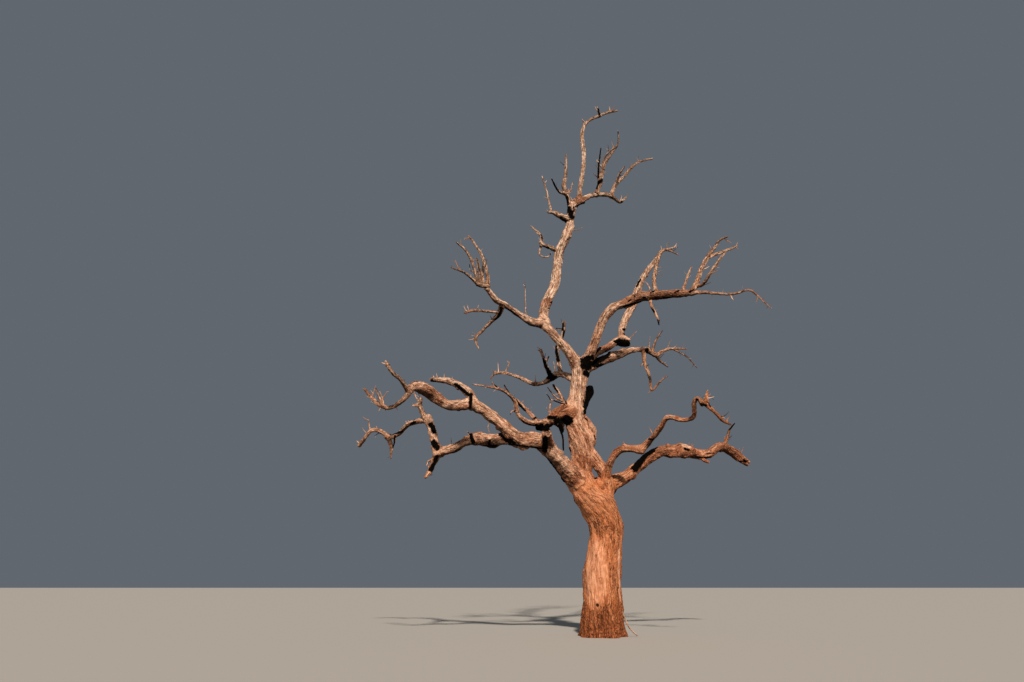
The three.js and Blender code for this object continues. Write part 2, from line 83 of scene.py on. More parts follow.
def seen(places):
    """Where places on the tree are seen on the frame, and how many mm one step of it is there."""
    offset = places / MM + (EYE_LEFT, EYE_DISTANCE, -EYE_HEIGHT)
    sight = offset[:, 1] * math.cos(EYE_PITCH) + offset[:, 2] * math.sin(EYE_PITCH)
    rise = offset[:, 2] * math.cos(EYE_PITCH) - offset[:, 1] * math.sin(EYE_PITCH)
    across = FRAME_ACROSS / 2 + FRAME_FOCAL * offset[:, 0] / sight
    return np.stack((across, FRAME_DOWN / 2 - FRAME_FOCAL * rise / sight), 1), sight / FRAME_FOCAL


# The studio: a plain pale floor and backdrop, one lamp high in front of the tree, and a weak even
# light from all round it.
FLOOR_SIDE = 160
FLOOR_GREY = "#aaa59d"
BACKDROP_GREY = "#aeb9c6"
BACKDROP_STRENGTH = 0.28
LAMP_STRENGTH = 4.7
LAMP_SPREAD = math.radians(3)
LAMP_HEIGHT = math.radians(38)
LAMP_TURN = math.radians(3)
LAMP_WARMTH = "#fff3e6"
PAPER_ROUGHNESS = 0.9


def colour(hex_text):
    """An sRGB hex value as a linear colour with alpha."""
    parts = [int(hex_text[k:k + 2], 16) / 255 for k in (1, 3, 5)]
    return (*(c / 12.92 if c <= 0.04045 else ((c + 0.055) / 1.055) ** 2.4 for c in parts), 1.0)


def add(tree, kind, links=None, **settings):
    """Adds a node to a tree, sets its properties, and sets its inputs or links them.

    An input is linked to a socket, or to a whole node, which stands for its first output.
    """
    node = tree.nodes.new(kind)
    for name, value in settings.items():
        setattr(node, name, value)
    for key, value in (links or {}).items():
        source = value.outputs[0] if isinstance(value, bpy.types.Node) else value
        if isinstance(source, bpy.types.NodeSocket):
            tree.links.new(source, node.inputs[key])
        else:
            node.inputs[key].default_value = source
    return node


def shader_tree(name):
    """A new material with an empty node tree."""
    material = bpy.data.materials.new(name)
    material.use_nodes = True
    material.node_tree.nodes.clear()
    return material, material.node_tree


matt_paper, paper_tree = shader_tree("matt_paper")
paper_look = {"Base Color": colour(FLOOR_GREY), "Roughness": PAPER_ROUGHNESS}
paper = add(paper_tree, "ShaderNodeBsdfPrincipled", paper_look)
add(paper_tree, "ShaderNodeOutputMaterial", {"Surface": paper})

floor_mesh = bpy.data.meshes.new("floor")
half = FLOOR_SIDE / 2
floor_corners = [(-half, -half, 0), (half, -half, 0), (half, half, 0), (-half, half, 0)]
floor_mesh.from_pydata(floor_corners, [], [(0, 1, 2, 3)])
floor_mesh.materials.append(matt_paper)
floor = bpy.data.objects.new("floor", floor_mesh)
scene.collection.objects.link(floor)

lamp = bpy.data.lights.new("high_lamp", "SUN")
lamp.energy = LAMP_STRENGTH
lamp.angle = LAMP_SPREAD
lamp.color = colour(LAMP_WARMTH)[:3]
lamp_stand = bpy.data.objects.new("high_lamp", lamp)
lamp_stand.rotation_euler = (math.pi / 2 - LAMP_HEIGHT, 0, LAMP_TURN)
scene.collection.objects.link(lamp_stand)

backdrop = bpy.data.worlds.new("backdrop")
backdrop.use_nodes = True
backdrop.node_tree.nodes.clear()
glow = add(backdrop.node_tree, "ShaderNodeBackground", {0: colour(BACKDROP_GREY), 1: BACKDROP_STRENGTH})
add(backdrop.node_tree, "ShaderNodeOutputWorld", {0: glow})
scene.world = backdrop
scene.view_settings.view_transform = "Standard"

# The trunk: one stem of hard, dry wood that flares at the ground into five worn root spurs and leans
# back to the left. A buttress leaves its right side and joins it again round a small eye, a burr
# stands on the right, and a torn collar is left where a big bough broke away on the left.
TRUNK_ROUTE = [
    [602.3, 600, 0, 785], [602.3, 568, 10, 770], [606.2, 536, 30, 698], [603.8, 520, 20, 755],
    [594.5, 501, 0, 850], [585.3, 487, -20, 600], [581.2, 473, -35, 448], [582, 456, -60, 480],
    [580, 438, -80, 520], [575.5, 420, -90, 390], [574.8, 409, -90, 410], [577.5, 392, -70, 350],
    [580, 376, -40, 385], [581.5, 364, -20, 370],
]
TRUNK_FORMS = {
    "buttress": [
        [598, 506, -40, 420], [607, 492, -60, 270], [605.6, 479, -80, 226], [598.8, 464.6, -75, 264],
        [590, 454, -65, 270], [584, 443, -60, 180],
    ],
    "collar": [
        [580, 411, -60, 300], [568, 413.5, -130, 420], [557.5, 416, -210, 330],
        [549.5, 417.5, -260, 140],
    ],
    "burr": [[586, 452, -60, 120], [589.5, 440, -80, 300], [589, 428, -80, 290], [586, 418, -80, 120]],
}
FOOT_GIRTH = 0.80
BELOW_GROUND = 0.12
FLARE_ROOTS = 5
FLARE_SPREAD = 0.34
FLARE_EVEN = 0.6
FLARE_LOBE = 0.4
FLARE_HEIGHT = 0.33
FLARE_TURN = 0.25
FLUTE_DEPTH = 0.025
FLUTES = 7
FLUTE_TURN_HEIGHT = 5.2
# How far, in radians, the grain has wound round the trunk at these heights in metres.
TRUNK_WOUND = ((0, 2.4, 4.8, 9.0), (0, 0.5, 3.3, 6.5))

AXIS_STEPS = 600
RING_PITCH = 0.03
SIDES = 48
LOBES = 3
LOBE_DEPTH = 0.045
LOBE_TWIST = 1.1
LOBE_PHASE = 10
LUMP_DEPTH = 0.20
LUMP_SIZE = 0.19
LUMP_NOISE = (0.8, 2.4, 3)
TRUNK_LUMPS = 0.25
COLLAR_SWELL = 0.30
COLLAR_REACH = 1.1
GRAIN_TWIST = 0.35
BREAK_JAG = 0.5
BREAK_HOLLOW = 0.35
JAG_SIZE = 0.5
HOLLOW_WIDTH = 0.6
# A whole end is a low dome: how far out each ring of it stands, and how wide it is.
DOME = ((0.35, 0.85), (0.6, 0.5))
DOME_TOP = 0.7
NEARLY_UPRIGHT = 1e-3


def lumps_at(rings):
    """How far the wood swells out at each point of a tube's rings, as a share of its radius."""
    lumps = [[noise.fractal(Vector(p) / LUMP_SIZE, *LUMP_NOISE) for p in ring] for ring in rings]
    return LUMP_DEPTH * np.array(lumps)


def square_to(along):
    """A level direction square to the one given, or any square one if that stands upright."""
    side = np.array((-along[1], along[0], 0.0))
    length = np.linalg.norm(side)
    return side / length if length > NEARLY_UPRIGHT else np.array((1.0, 0.0, 0.0))


class Limb:
    """A limb of wood: a smooth axis through its places, and its girth at each of them, in metres."""

    def __init__(self, name, places, girths, broken=False):
        self.name = name
        self.places = np.array(places, float)
        self.girths = np.array(girths, float)
        self.broken = broken
        self.at = np.linspace(0, 1, AXIS_STEPS)
        steps = np.linalg.norm(np.diff(self.points(self.at), axis=0), axis=1)
        self.run = np.concatenate(([0], np.cumsum(steps)))
        self.length = self.run[-1]

    def points(self, at):
        """Places on the axis, as a centripetal spline, where at runs from 0 to 1 over its stations."""
        first = 2 * self.places[0] - self.places[1]
        last = 2 * self.places[-1] - self.places[-2]
        held = np.vstack((first, self.places, last))
        spans = len(self.places) - 1
        span = np.minimum((at * spans).astype(int), spans - 1)
        share = (at * spans - span)[:, None]
        p0, p1, p2, p3 = (held[span + k] for k in range(4))
        pairs = ((p0, p1), (p1, p2), (p2, p3))
        d0, d1, d2 = (np.sqrt(np.linalg.norm(b - a, axis=1))[:, None] for a, b in pairs)
        leave = ((p1 - p0) / d0 - (p2 - p0) / (d0 + d1) + (p2 - p1) / d1) * d1
        arrive = ((p2 - p1) / d1 - (p3 - p1) / (d1 + d2) + (p3 - p2) / d2) * d1
        square = 3 * (p2 - p1) - 2 * leave - arrive
        cube = 2 * (p1 - p2) + leave + arrive
        return p1 + (leave + (square + cube * share) * share) * share

    def radii(self, at):
        spans = len(self.girths) - 1
        return np.interp(at * spans, np.arange(spans + 1), self.girths) / 2

    def walk(self, pitch):
        """Even steps along the axis: runs, centres, directions, two sideways directions, radii."""
        run = np.linspace(0, self.length, max(3, math.ceil(self.length / pitch)) + 1)
        at = np.interp(run, self.run, self.at)
        centres = self.points(at)
        along = np.gradient(centres, axis=0)
        along /= np.linalg.norm(along, axis=1)[:, None]
        across = np.zeros_like(along)
        side = square_to(along[0])
        for k, direction in enumerate(along):
            side = side - direction * side.dot(direction)
            side = side / np.linalg.norm(side)
            across[k] = side
        return run, centres, along, across, np.cross(along, across), self.radii(at)

    def tube(self):
        """Rings of the limb's rough skin, and how each end closes: a break is torn and hollow."""
        run, centres, along, across, up, radii = self.walk(RING_PITCH)
        angle = np.linspace(0, 2 * math.pi, SIDES, endpoint=False)
        phase = noise.noise(Vector(centres[0])) * LOBE_PHASE
        skin = 1 + LOBE_DEPTH * np.cos(LOBES * (angle + LOBE_TWIST * run[:, None]) + phase)
        skin += COLLAR_SWELL * np.exp(-run / (COLLAR_REACH * radii[0]))[:, None]
        sideways = np.cos(angle)[:, None] * across[:, None] + np.sin(angle)[:, None] * up[:, None]
        rings = centres[:, None] + sideways * (radii[:, None] * skin)[:, :, None]
        rings += sideways * (radii[:, None] * lumps_at(rings))[:, :, None]
        tip = radii[-1]
        if self.broken:
            jag = np.array([noise.noise(Vector(p) / (JAG_SIZE * tip)) for p in rings[-1]])
            torn = rings[-1] + along[-1] * (tip * BREAK_JAG * (1 + jag))[:, None]
            hollow = centres[-1] - along[-1] * tip * BREAK_HOLLOW
            inner = centres[-1] + (torn - centres[-1]) * HOLLOW_WIDTH - along[-1] * tip * BREAK_HOLLOW
            return np.concatenate((rings, torn[None], inner[None])), hollow
        from_end = rings[-1] - centres[-1]
        domed = [centres[-1] + along[-1] * tip * out + from_end * wide for out, wide in DOME]
        return np.concatenate((rings, np.array(domed))), centres[-1] + along[-1] * tip * DOME_TOP

    def measure(self, points):
        """How far points lie outside the skin, their grain, its direction, and the radius there."""
        run, centres, along, across, up, radii = self.walk(RING_PITCH)
        finder = KDTree(len(centres))
        for k, centre in enumerate(centres):
            finder.insert(centre, k)
        finder.balance()
        near = np.array([finder.find(p)[1] for p in points])
        offset = points - centres[near]
        ahead = np.clip(np.sum(offset * along[near], axis=1), -RING_PITCH, RING_PITCH)
        outward = offset - along[near] * ahead[:, None]
        aside = np.sum(outward * across[near], axis=1)
        above = np.sum(outward * up[near], axis=1)
        apart = np.linalg.norm(outward, axis=1) - radii[near]
        grain = grain_of(aside, above, run[near] + ahead, GRAIN_TWIST * run[near])
        return apart, grain, along[near], radii[near]


def grain_of(aside, above, run, turn):
    """A point's place in the grain, which has wound round the limb by that turn, in radians."""
    wound = (aside + 1j * above) * np.exp(1j * turn)
    return np.stack((wound.real, wound.imag, run), 1)


class Trunk(Limb):
    """The trunk's rings are level, from a flat cut on the ground, with its flare and its flutes."""

    def skin(self, height, angle):
        root = FLARE_EVEN + FLARE_LOBE * np.cos(FLARE_ROOTS * (angle - FLARE_TURN))
        flare = FLARE_SPREAD * root * np.exp(-np.maximum(height, 0) / FLARE_HEIGHT)
        wind = angle - height / FLUTE_TURN_HEIGHT * 2 * math.pi
        return 1 + flare + FLUTE_DEPTH * np.cos(FLUTES * wind)

    def tube(self):
        run, centres, along, across, up, radii = self.walk(RING_PITCH)
        below = centres[0] - (0, 0, BELOW_GROUND)
        centres = np.vstack((below, centres))
        radii = np.concatenate((radii[:1], radii))
        angle = np.linspace(0, 2 * math.pi, SIDES, endpoint=False)
        sideways = np.stack((np.sin(angle), np.cos(angle), np.zeros(SIDES)), 1)
        skin = self.skin(centres[:, 2:], angle)
        rings = centres[:, None] + sideways[None] * (radii[:, None] * skin)[:, :, None]
        rings += sideways[None] * (radii[:, None] * TRUNK_LUMPS * lumps_at(rings))[:, :, None]
        return rings[:, ::-1], centres[-1]

    def measure(self, points):
        run, centres, along, across, up, radii = self.walk(RING_PITCH)
        height = points[:, 2]
        aside = points[:, 0] - np.interp(height, centres[:, 2], centres[:, 0])
        ahead = points[:, 1] - np.interp(height, centres[:, 2], centres[:, 1])
        skin = self.skin(height, np.arctan2(aside, ahead))
        radius = np.interp(height, centres[:, 2], radii)
        apart = np.maximum(np.hypot(aside, ahead) - radius * skin, height - centres[-1, 2])
        direction = np.stack([np.interp(height, centres[:, 2], along[:, k]) for k in range(3)], 1)
        grain = grain_of(aside, ahead, height, np.interp(height, *TRUNK_WOUND))
        return apart, grain, direction, radius


def places_of(route):
    return [place(*station[:3]) for station in route]


def girths_of(route):
    return [station[3] * MM for station in route]


def limb_from(name, route, broken=False):
    return Limb(name, places_of(route), girths_of(route), broken)


def limbs_from(routes, broken=()):
    """A limb for each of the named routes, some of which end at a break."""
    return [limb_from(name, route, name in broken) for name, route in routes.items()]


trunk_places = [(0, 0, 0)] + places_of(TRUNK_ROUTE)
trunk_girths = [FOOT_GIRTH] + girths_of(TRUNK_ROUTE)
limbs = {"trunk": [Trunk("trunk", trunk_places, trunk_girths), *limbs_from(TRUNK_FORMS)]}

# The low boughs on the right: one bare limb with a swollen eye and a split, broken end, that dips and
# rises behind the trunk's plane, and a thinner limb that arches over it towards the viewer.
LOW_RIGHT_BOUGHS = {
    "low_right_bough": [
        [596, 489, -20, 330], [613, 483, 130, 305], [630, 473.5, 330, 250], [646, 460, 450, 226],
        [660, 451.5, 520, 232], [672, 451.8, 640, 270], [682, 451, 780, 335], [692, 452.5, 900, 262],
        [700, 454.8, 950, 192],
    ],
    "low_right_arm": [
        [699, 454.6, 945, 184], [708, 454, 1000, 180], [720, 446.7, 1180, 205], [730, 450.5, 1420, 235],
        [739, 457.5, 1550, 205], [748, 463.5, 1520, 125],
    ],
    "low_right_arch": [
        [605, 482, -90, 165], [607.3, 471, -220, 150], [611.5, 459.5, -400, 138],
        [620, 449.8, -540, 148], [631, 448.5, -680, 150], [642, 450.2, -760, 150],
    ],
    "low_right_arch_arm": [
        [640.5, 450, -750, 144], [648, 442, -880, 124], [655, 435, -1100, 118], [661.3, 426, -1350, 108],
        [667.5, 417.5, -1520, 108], [677, 418.2, -1600, 88],
    ],
}
LOW_RIGHT_TWIGS = {
    "low_right_tip_twigs": [
        [[724, 448, 1280, 90], [727, 438, 1200, 66], [730, 429, 1100, 50], [735, 423, 1020, 24]],
        [[725.5, 443, 1240, 44], [725, 437, 1350, 24]],
    ],
    "low_right_arch_twigs": [
        [
            [675, 418.2, -1580, 80], [685, 420.3, -1640, 82], [693.5, 417, -1790, 88],
            [694.2, 403, -2030, 96], [697, 398.5, -2130, 80], [704, 403, -2200, 100],
            [716.5, 414, -2180, 64], [723, 420.7, -2080, 66], [731, 424.7, -1960, 34],
        ],
        [[706, 403, -2195, 84], [706.5, 397, -2160, 70], [708, 390, -2060, 26]],
    ],
}
LOW_RIGHT_BROKEN = {"low_right_arm"}
limbs["low_right"] = limbs_from(LOW_RIGHT_BOUGHS, LOW_RIGHT_BROKEN)

# The low boughs on the left, the tree's longest: a stout limb that arches out towards the viewer and
# back, with an upper limb on it, and a lower limb that runs back and carries a riser and a long reach.
LOW_LEFT_BOUGHS = {
    "low_left_bough": [
        [585, 488, -30, 430], [565.5, 468, -330, 360], [551.5, 453.5, -620, 325], [539, 441, -860, 335],
        [519, 438.5, -1040, 272], [503, 425.5, -1120, 235], [484, 410.8, -1230, 222],
        [471, 403, -1350, 205],
    ],
    "low_left_arm": [
        [472, 403.2, -1340, 198], [459, 405, -1480, 185], [447.5, 404.8, -1620, 200],
        [439.5, 400, -1700, 222], [431, 392.5, -1800, 238], [421.5, 387.3, -1980, 240],
        [414, 387, -2100, 185], [409.5, 389.5, -2140, 122],
    ],
    "left_upper_bough": [
        [475, 407, -1310, 180], [470, 394.5, -1240, 172], [459.5, 386, -1060, 160],
        [447, 380.8, -840, 138], [431.5, 379.5, -620, 92],
    ],
    "left_lower_bough": [
        [524, 442, -960, 240], [505, 438.5, -620, 225], [490, 440.7, -330, 305], [478, 439.3, -100, 262],
        [468, 441, 90, 205], [456, 447, 330, 200], [438, 452.7, 500, 188],
    ],
    "left_riser": [
        [438.5, 456, 490, 180], [435.3, 443.5, 560, 172], [432.3, 430, 650, 188], [427, 416.5, 620, 180],
    ],
    "left_reach": [
        [429.5, 418.5, 615, 140], [415.5, 422, 820, 122], [406, 426, 1080, 118], [399.5, 433, 1260, 112],
        [388.5, 438.3, 1340, 106],
    ],
}
# The stump of a lost limb points at the viewer and shades the bough under it.
SNAPPED_STUMP = [[546.5, 441, -840, 210], [546.8, 436.5, -1080, 205], [546.6, 433, -1210, 205]]
LOW_LEFT_TWIGS = {
    "low_left_tip_twigs": [
        [
            [411, 388.7, -2120, 104], [403.5, 399.5, -2080, 92], [391, 407.3, -1850, 82],
            [381, 406, -1640, 84], [371, 397, -1530, 76], [364, 388.3, -1580, 48],
        ],
        [
            [408.5, 391, -2130, 84], [400, 379.5, -2400, 75], [390, 369.5, -2620, 68],
            [386, 361.5, -2660, 48],
        ],
        [[382.5, 406, -1660, 60], [379, 397, -1720, 48], [375.5, 388, -1850, 26]],
    ],
    "left_drop_twigs": [
        [[438, 453, 490, 140], [434, 462, 520, 128], [430, 471, 430, 112], [425, 478, 330, 66]],
        [[435, 458, 510, 44], [428, 462, 620, 40], [429, 470, 700, 22]],
    ],
    "left_riser_twigs": [
        [[426, 419, 620, 112], [420.5, 408, 560, 105], [421, 397, 420, 76]],
        [[420, 406, 550, 60], [412, 406, 430, 36]],
        [[419.8, 403, 500, 40], [416, 397, 620, 34], [413, 390, 700, 22]],
    ],
    "left_reach_twigs": [
        [
            [390.5, 437.6, 1325, 96], [379.5, 431, 1400, 110], [371, 430.5, 1340, 98],
            [365, 438, 1420, 92], [358.7, 446.3, 1620, 96],
        ],
        [[386, 435.5, 1350, 96], [390.5, 443, 1460, 100], [391, 459, 1560, 28]],
        [[370.5, 431.5, 1345, 44], [368, 419, 1220, 22]],
    ],
}
LOW_LEFT_BROKEN = {"left_upper_bough", "left_lower_bough"}
limbs["low_left"] = limbs_from(LOW_LEFT_BOUGHS, LOW_LEFT_BROKEN)
limbs["low_left"].append(limb_from("snapped_stump", SNAPPED_STUMP, True))

# The middle of the tree: the broken bough that hangs on at the torn collar and a dead stub behind the
# trunk, both painted dark with shade, and a thin bough that leaves the trunk under the fork, through a
# knot.
MIDDLE_BOUGHS = {
    "broken_collar_bough": [
        [556, 419, -220, 150], [545, 421.7, -330, 130], [532, 423.3, -500, 130], [521, 417.8, -610, 105],
        [516, 411, -580, 88],
    ],
    "dark_stub": [
        [583, 420, 60, 120], [584.8, 409, 140, 95], [587.2, 399.5, 200, 140], [590, 392.5, 220, 192],
        [590, 387.6, 215, 168],
    ],
    "mid_left_bough": [
        [577, 381, 40, 150], [565, 375, 260, 140], [558, 374.5, 430, 150], [551, 378, 600, 190],
        [545, 382, 760, 105], [533, 383.5, 1120, 96], [520, 377.3, 1330, 80],
    ],
}
MIDDLE_TWIGS = {
    "broken_bough_twigs": [
        [
            [516.8, 412.3, -585, 80], [515.5, 403, -640, 82], [507.5, 393.3, -840, 66],
            [497, 388.5, -1040, 48], [484, 386, -1120, 36], [472, 384, -1060, 24],
        ],
        [[509.5, 395.3, -790, 50], [504, 385, -900, 28]],
        [[499.5, 389.5, -1000, 40], [492, 383, -900, 24]],
    ],
    "broken_bough_fork": [
        [[538, 422.5, -420, 90], [528, 411.5, -330, 86], [521, 405, -210, 95], [516, 399, -60, 58]],
    ],
    "collar_twigs": [
        [[567, 411, -150, 80], [561, 396, -60, 72], [555.5, 388, 80, 64], [553, 384.5, 260, 48]],
        [[563, 401, -100, 46], [556, 397.5, -220, 38], [547.5, 387, -380, 20]],
        [[564, 404, -115, 40], [552, 400, -300, 22]],
    ],
    "knot_twigs": [
        [[552, 379, 590, 100], [546, 366, 700, 95], [542, 353, 740, 60], [541, 349, 720, 38]],
        [[545, 363, 705, 54], [549, 356, 600, 28]],
        [[542, 354, 738, 40], [538, 349, 850, 24]],
    ],
    "rising_twigs": [
        [
            [561, 375, 370, 95], [558, 360, 400, 92], [557, 348, 480, 90], [563, 334, 560, 88],
            [564, 321, 520, 76],
        ],
        [[563.5, 330, 550, 52], [555, 328, 680, 26]],
    ],
    "mid_left_twigs": [
        [[521.3, 378, 1310, 74], [504, 373, 1600, 72], [495, 374, 1580, 50], [490, 379, 1440, 28]],
        [[505, 373.2, 1590, 44], [510, 362, 1760, 22]],
        [[500, 373, 1600, 44], [493, 371, 1800, 26]],
    ],
}
MIDDLE_BROKEN = {"broken_collar_bough"}
limbs["middle"] = limbs_from(MIDDLE_BOUGHS, MIDDLE_BROKEN)

# The left side of the crown: the bough that leaves the fork, its arm to the left with a hand of bare
# twigs, and the leader that runs up to the tree's top.
CROWN_LEFT_BOUGHS = {
    "upper_left_bough": [
        [581, 371, -20, 270], [572, 357.5, -150, 225], [562, 344, -290, 205], [550.5, 331, -330, 205],
        [542.5, 321, -300, 210],
    ],
    "upper_left_arm": [
        [544, 323.5, -290, 185], [531, 321.8, -430, 172], [518.5, 314.3, -560, 142],
        [505.5, 305.3, -760, 136], [496, 299.5, -960, 130], [487.3, 288.5, -1100, 116],
    ],
    "leader_bough": [
        [543.2, 322, -300, 205], [545.5, 306, -210, 222], [554.5, 286, -60, 232], [557.2, 268, 0, 230],
        [558.3, 255, -30, 228], [565.5, 238, -120, 208], [570.3, 224, -70, 205], [571.2, 207, 90, 182],
    ],
    "top_right_bough": [
        [571.2, 208.8, 80, 172], [575, 203, 100, 195], [583, 199.5, 200, 150], [591, 195.5, 400, 122],
        [604, 194.2, 600, 102],
    ],
    "tall_leader": [
        [579, 202, 150, 135], [580, 188, 80, 118], [582.7, 172, 0, 102], [583.7, 152, -40, 102],
        [582, 135, 60, 96], [584.5, 124, 150, 78],
    ],
}
CROWN_LEFT_TWIGS = {
    "left_hanging_twigs": [
        [
            [502.5, 305, -800, 108], [499, 314, -700, 104], [490, 323, -520, 80], [482, 331, -380, 66],
            [475.5, 338, -320, 72], [479, 350, -240, 22],
        ],
        [[499, 312.5, -715, 62], [484, 310.8, -1000, 58], [471, 310.8, -1300, 64], [464, 313, -1420, 38]],
    ],
    "left_whip_twig": [
        [[526, 319, -490, 36], [525.5, 300, -420, 24], [525, 282, -460, 14]],
    ],
    "left_hand_twigs": [
        [
            [487.3, 290, -1094, 94], [488, 279.5, -1170, 84], [485, 265, -1210, 76],
            [480, 252, -1150, 62], [472, 240, -1040, 42], [468.5, 235.5, -1000, 28],
        ],
        [
            [487.7, 286.5, -1125, 84], [477, 283.5, -1290, 92], [476, 275, -1400, 66],
            [467, 252, -1640, 56], [456, 242, -1780, 32],
        ],
        [[484, 286, -1160, 60], [483, 275, -1060, 56], [483, 262, -930, 38]],
        [[480, 284.8, -1240, 74], [480, 271, -1380, 66], [477, 258, -1560, 32]],
        [[478, 284.5, -1270, 70], [466, 273.5, -1540, 56], [451, 267.3, -1900, 30]],
    ],
    "leader_side_twigs": [
        [
            [560, 252, -40, 110], [549, 247, -200, 90], [541.5, 243.5, -330, 96], [541, 236, -300, 64],
            [531, 226, -160, 32],
        ],
        [[541, 245, -325, 50], [540, 255, -420, 40], [547, 257, -440, 34], [551, 253, -330, 26]],
    ],
    "crown_stub_twigs": [
        [[571, 221, -40, 150], [560, 216, -180, 138], [553, 212.5, -260, 90], [547, 212, -280, 48]],
        [[551.5, 212.5, -265, 60], [547.5, 195, -150, 50], [542, 176, -20, 26]],
    ],
    "crown_left_twigs": [
        [
            [570.7, 207.5, 85, 110], [567, 196, -20, 104], [564, 186, -120, 110], [565.7, 174, -100, 84],
            [566, 154, -200, 42],
        ],
        [[566, 194, -40, 84], [558.5, 191, -240, 62], [551, 178, -520, 28]],
        [[567, 195, -30, 56], [570.5, 190, 80, 44], [573, 182, 220, 26]],
    ],
    "crown_mid_twigs": [
        [
            [596, 195, 480, 110], [600, 183, 600, 118], [602.5, 171, 740, 100], [606, 161.5, 800, 84],
            [614, 150, 760, 62], [618, 143, 680, 48], [618, 130, 620, 24],
        ],
        [[601.5, 178, 660, 56], [604.5, 158, 460, 48], [616, 146, 260, 36]],
        [[599, 186, 570, 70], [598.5, 168, 380, 60], [601, 148, 300, 26]],
    ],
    "crown_right_twigs": [
        [[603.3, 194.2, 590, 96], [612, 196.5, 760, 92], [620, 202, 960, 90], [627, 196, 1120, 36]],
        [
            [611, 196.5, 740, 92], [615, 186, 900, 104], [624, 176.5, 960, 80], [637, 163, 1220, 64],
            [653, 158.5, 1560, 42],
        ],
        [[615, 187, 890, 66], [619, 175, 700, 56], [625, 166, 540, 28]],
    ],
    "leader_tip_twigs": [
        [
            [584.2, 125.5, 140, 72], [588, 121.3, 160, 66], [600, 115.7, 300, 78], [610, 112, 500, 66],
            [618, 110.5, 560, 40],
        ],
        [[599, 116, 285, 44], [597, 107, 340, 24]],
        [[585.5, 123.5, 150, 44], [582, 119.5, 60, 24]],
    ],
}
CROWN_LEFT_BROKEN = {"tall_leader"}
limbs["crown_left"] = limbs_from(CROWN_LEFT_BOUGHS, CROWN_LEFT_BROKEN)

# The right side of the crown: a limb that leaves the fork and arches over to the right, a middle
# limb under it, and a limb behind both that climbs to a broken tip.
CROWN_RIGHT_BOUGHS = {
    "right_arch": [
        [582, 369, -30, 270], [590, 352.5, -220, 225], [596.3, 338, -420, 200],
        [603.5, 319.8, -570, 195], [613, 308, -650, 190], [630, 301.6, -720, 200],
    ],
    "right_arch_arm": [
        [628.5, 302, -712, 190], [640, 297.4, -850, 212], [653, 295.4, -1050, 208],
        [667, 294.2, -1220, 182], [681, 293.5, -1320, 162], [693, 292.8, -1350, 108],
    ],
    "right_mid_bough": [
        [585, 369, 20, 190], [601, 361.3, 170, 200], [612, 356.7, 380, 232], [622, 353, 620, 190],
        [630, 350.5, 740, 135], [640, 349.3, 840, 112], [649, 350, 950, 146],
    ],
    "right_back_bough": [
        [584, 363, 40, 200], [598, 352.5, 300, 162], [608, 347, 520, 160], [617, 341.5, 740, 190],
        [626, 341.5, 880, 232],
    ],
    "right_back_arm": [
        [624, 343, 860, 200], [621.5, 333, 960, 170], [625, 320, 1060, 168], [633, 304, 1150, 188],
        [638, 290, 1280, 184], [643.3, 277, 1450, 150], [651.5, 265, 1600, 122], [658, 257, 1600, 106],
    ],
}
CROWN_RIGHT_TWIGS = {
    "right_crest_twigs": [
        [
            [690.5, 293, -1345, 106], [696, 284, -1260, 112], [700.5, 271.5, -1080, 104],
            [706, 260, -920, 104], [713.5, 248.5, -840, 68], [720, 240, -880, 50],
            [728, 236.5, -980, 34],
        ],
        [[708, 257, -900, 76], [722, 252, -640, 66], [737, 246, -420, 44]],
        [
            [695.5, 285.5, -1270, 84], [702, 285, -1480, 72], [710, 273.5, -1700, 70],
            [719, 260, -1780, 56], [726, 252, -1720, 38],
        ],
    ],
    "right_whip_twigs": [
        [
            [692, 292.9, -1346, 90], [703, 292.4, -1480, 70], [720, 293.8, -1700, 58],
            [735, 293.8, -1980, 50], [749, 290, -2160, 42], [760, 298, -2200, 34], [772, 309, -2340, 20],
        ],
    ],
    "right_arch_spur": [
        [[682, 293.5, -1320, 70], [687, 278, -1180, 60], [692, 266, -1120, 28]],
    ],
    "arch_riser_twigs": [
        [[656, 295, -1090, 95], [654, 280, -1000, 84], [656.5, 266, -820, 76], [660, 255, -700, 60]],
    ],
    "arch_hanging_twigs": [
        [[649, 296, -990, 80], [652, 307, -1120, 66], [657.5, 318, -1300, 50], [659, 325, -1420, 24]],
    ],
    "right_back_twigs": [
        [
            [657.3, 257.7, 1600, 94], [662.5, 250.5, 1560, 84], [668, 249.5, 1700, 74],
            [676, 247, 1920, 40],
        ],
        [[668, 249.7, 1690, 56], [679, 255, 1780, 26]],
    ],
    "right_mid_twigs": [
        [
            [648, 350, 935, 118], [656, 355, 1060, 116], [664, 350.3, 1120, 80], [675, 348.5, 1260, 60],
            [687, 349, 1280, 34],
        ],
        [[652, 353, 1000, 64], [657, 338, 820, 46], [663, 330, 680, 22]],
        [[673, 348.7, 1235, 48], [687, 357, 1460, 36], [697, 368, 1640, 18]],
        [[655, 355, 1045, 70], [660, 361, 1240, 60], [668, 367, 1500, 32]],
    ],
    "right_hanging_twigs": [
        [
            [643, 349, 870, 95], [645, 363, 800, 84], [649.5, 377, 640, 72], [652, 390.5, 520, 46],
            [659, 382.5, 400, 36], [668, 375.5, 260, 24],
        ],
    ],
}
CROWN_RIGHT_BROKEN = {"right_back_bough", "right_arch_arm"}
limbs["crown_right"] = limbs_from(CROWN_RIGHT_BOUGHS, CROWN_RIGHT_BROKEN)

# The wood of trunk and boughs is one grown body. Its limbs are fused, their crotches are filled out
# with the swollen wood that a tree grows there, and knots, eyes and hollows are raised or sunk.
VOXEL = 0.0112
SMOOTH_TURNS = 5
SMOOTH_SHARE = 0.5
FAR = 9.0
CROTCH_FILL = 1.3
CROTCH_SEARCH = 0.35
CROTCH_RISE = 0.25
SEAM_SHARE = 0.45
SEAM_EDGE = 1.3
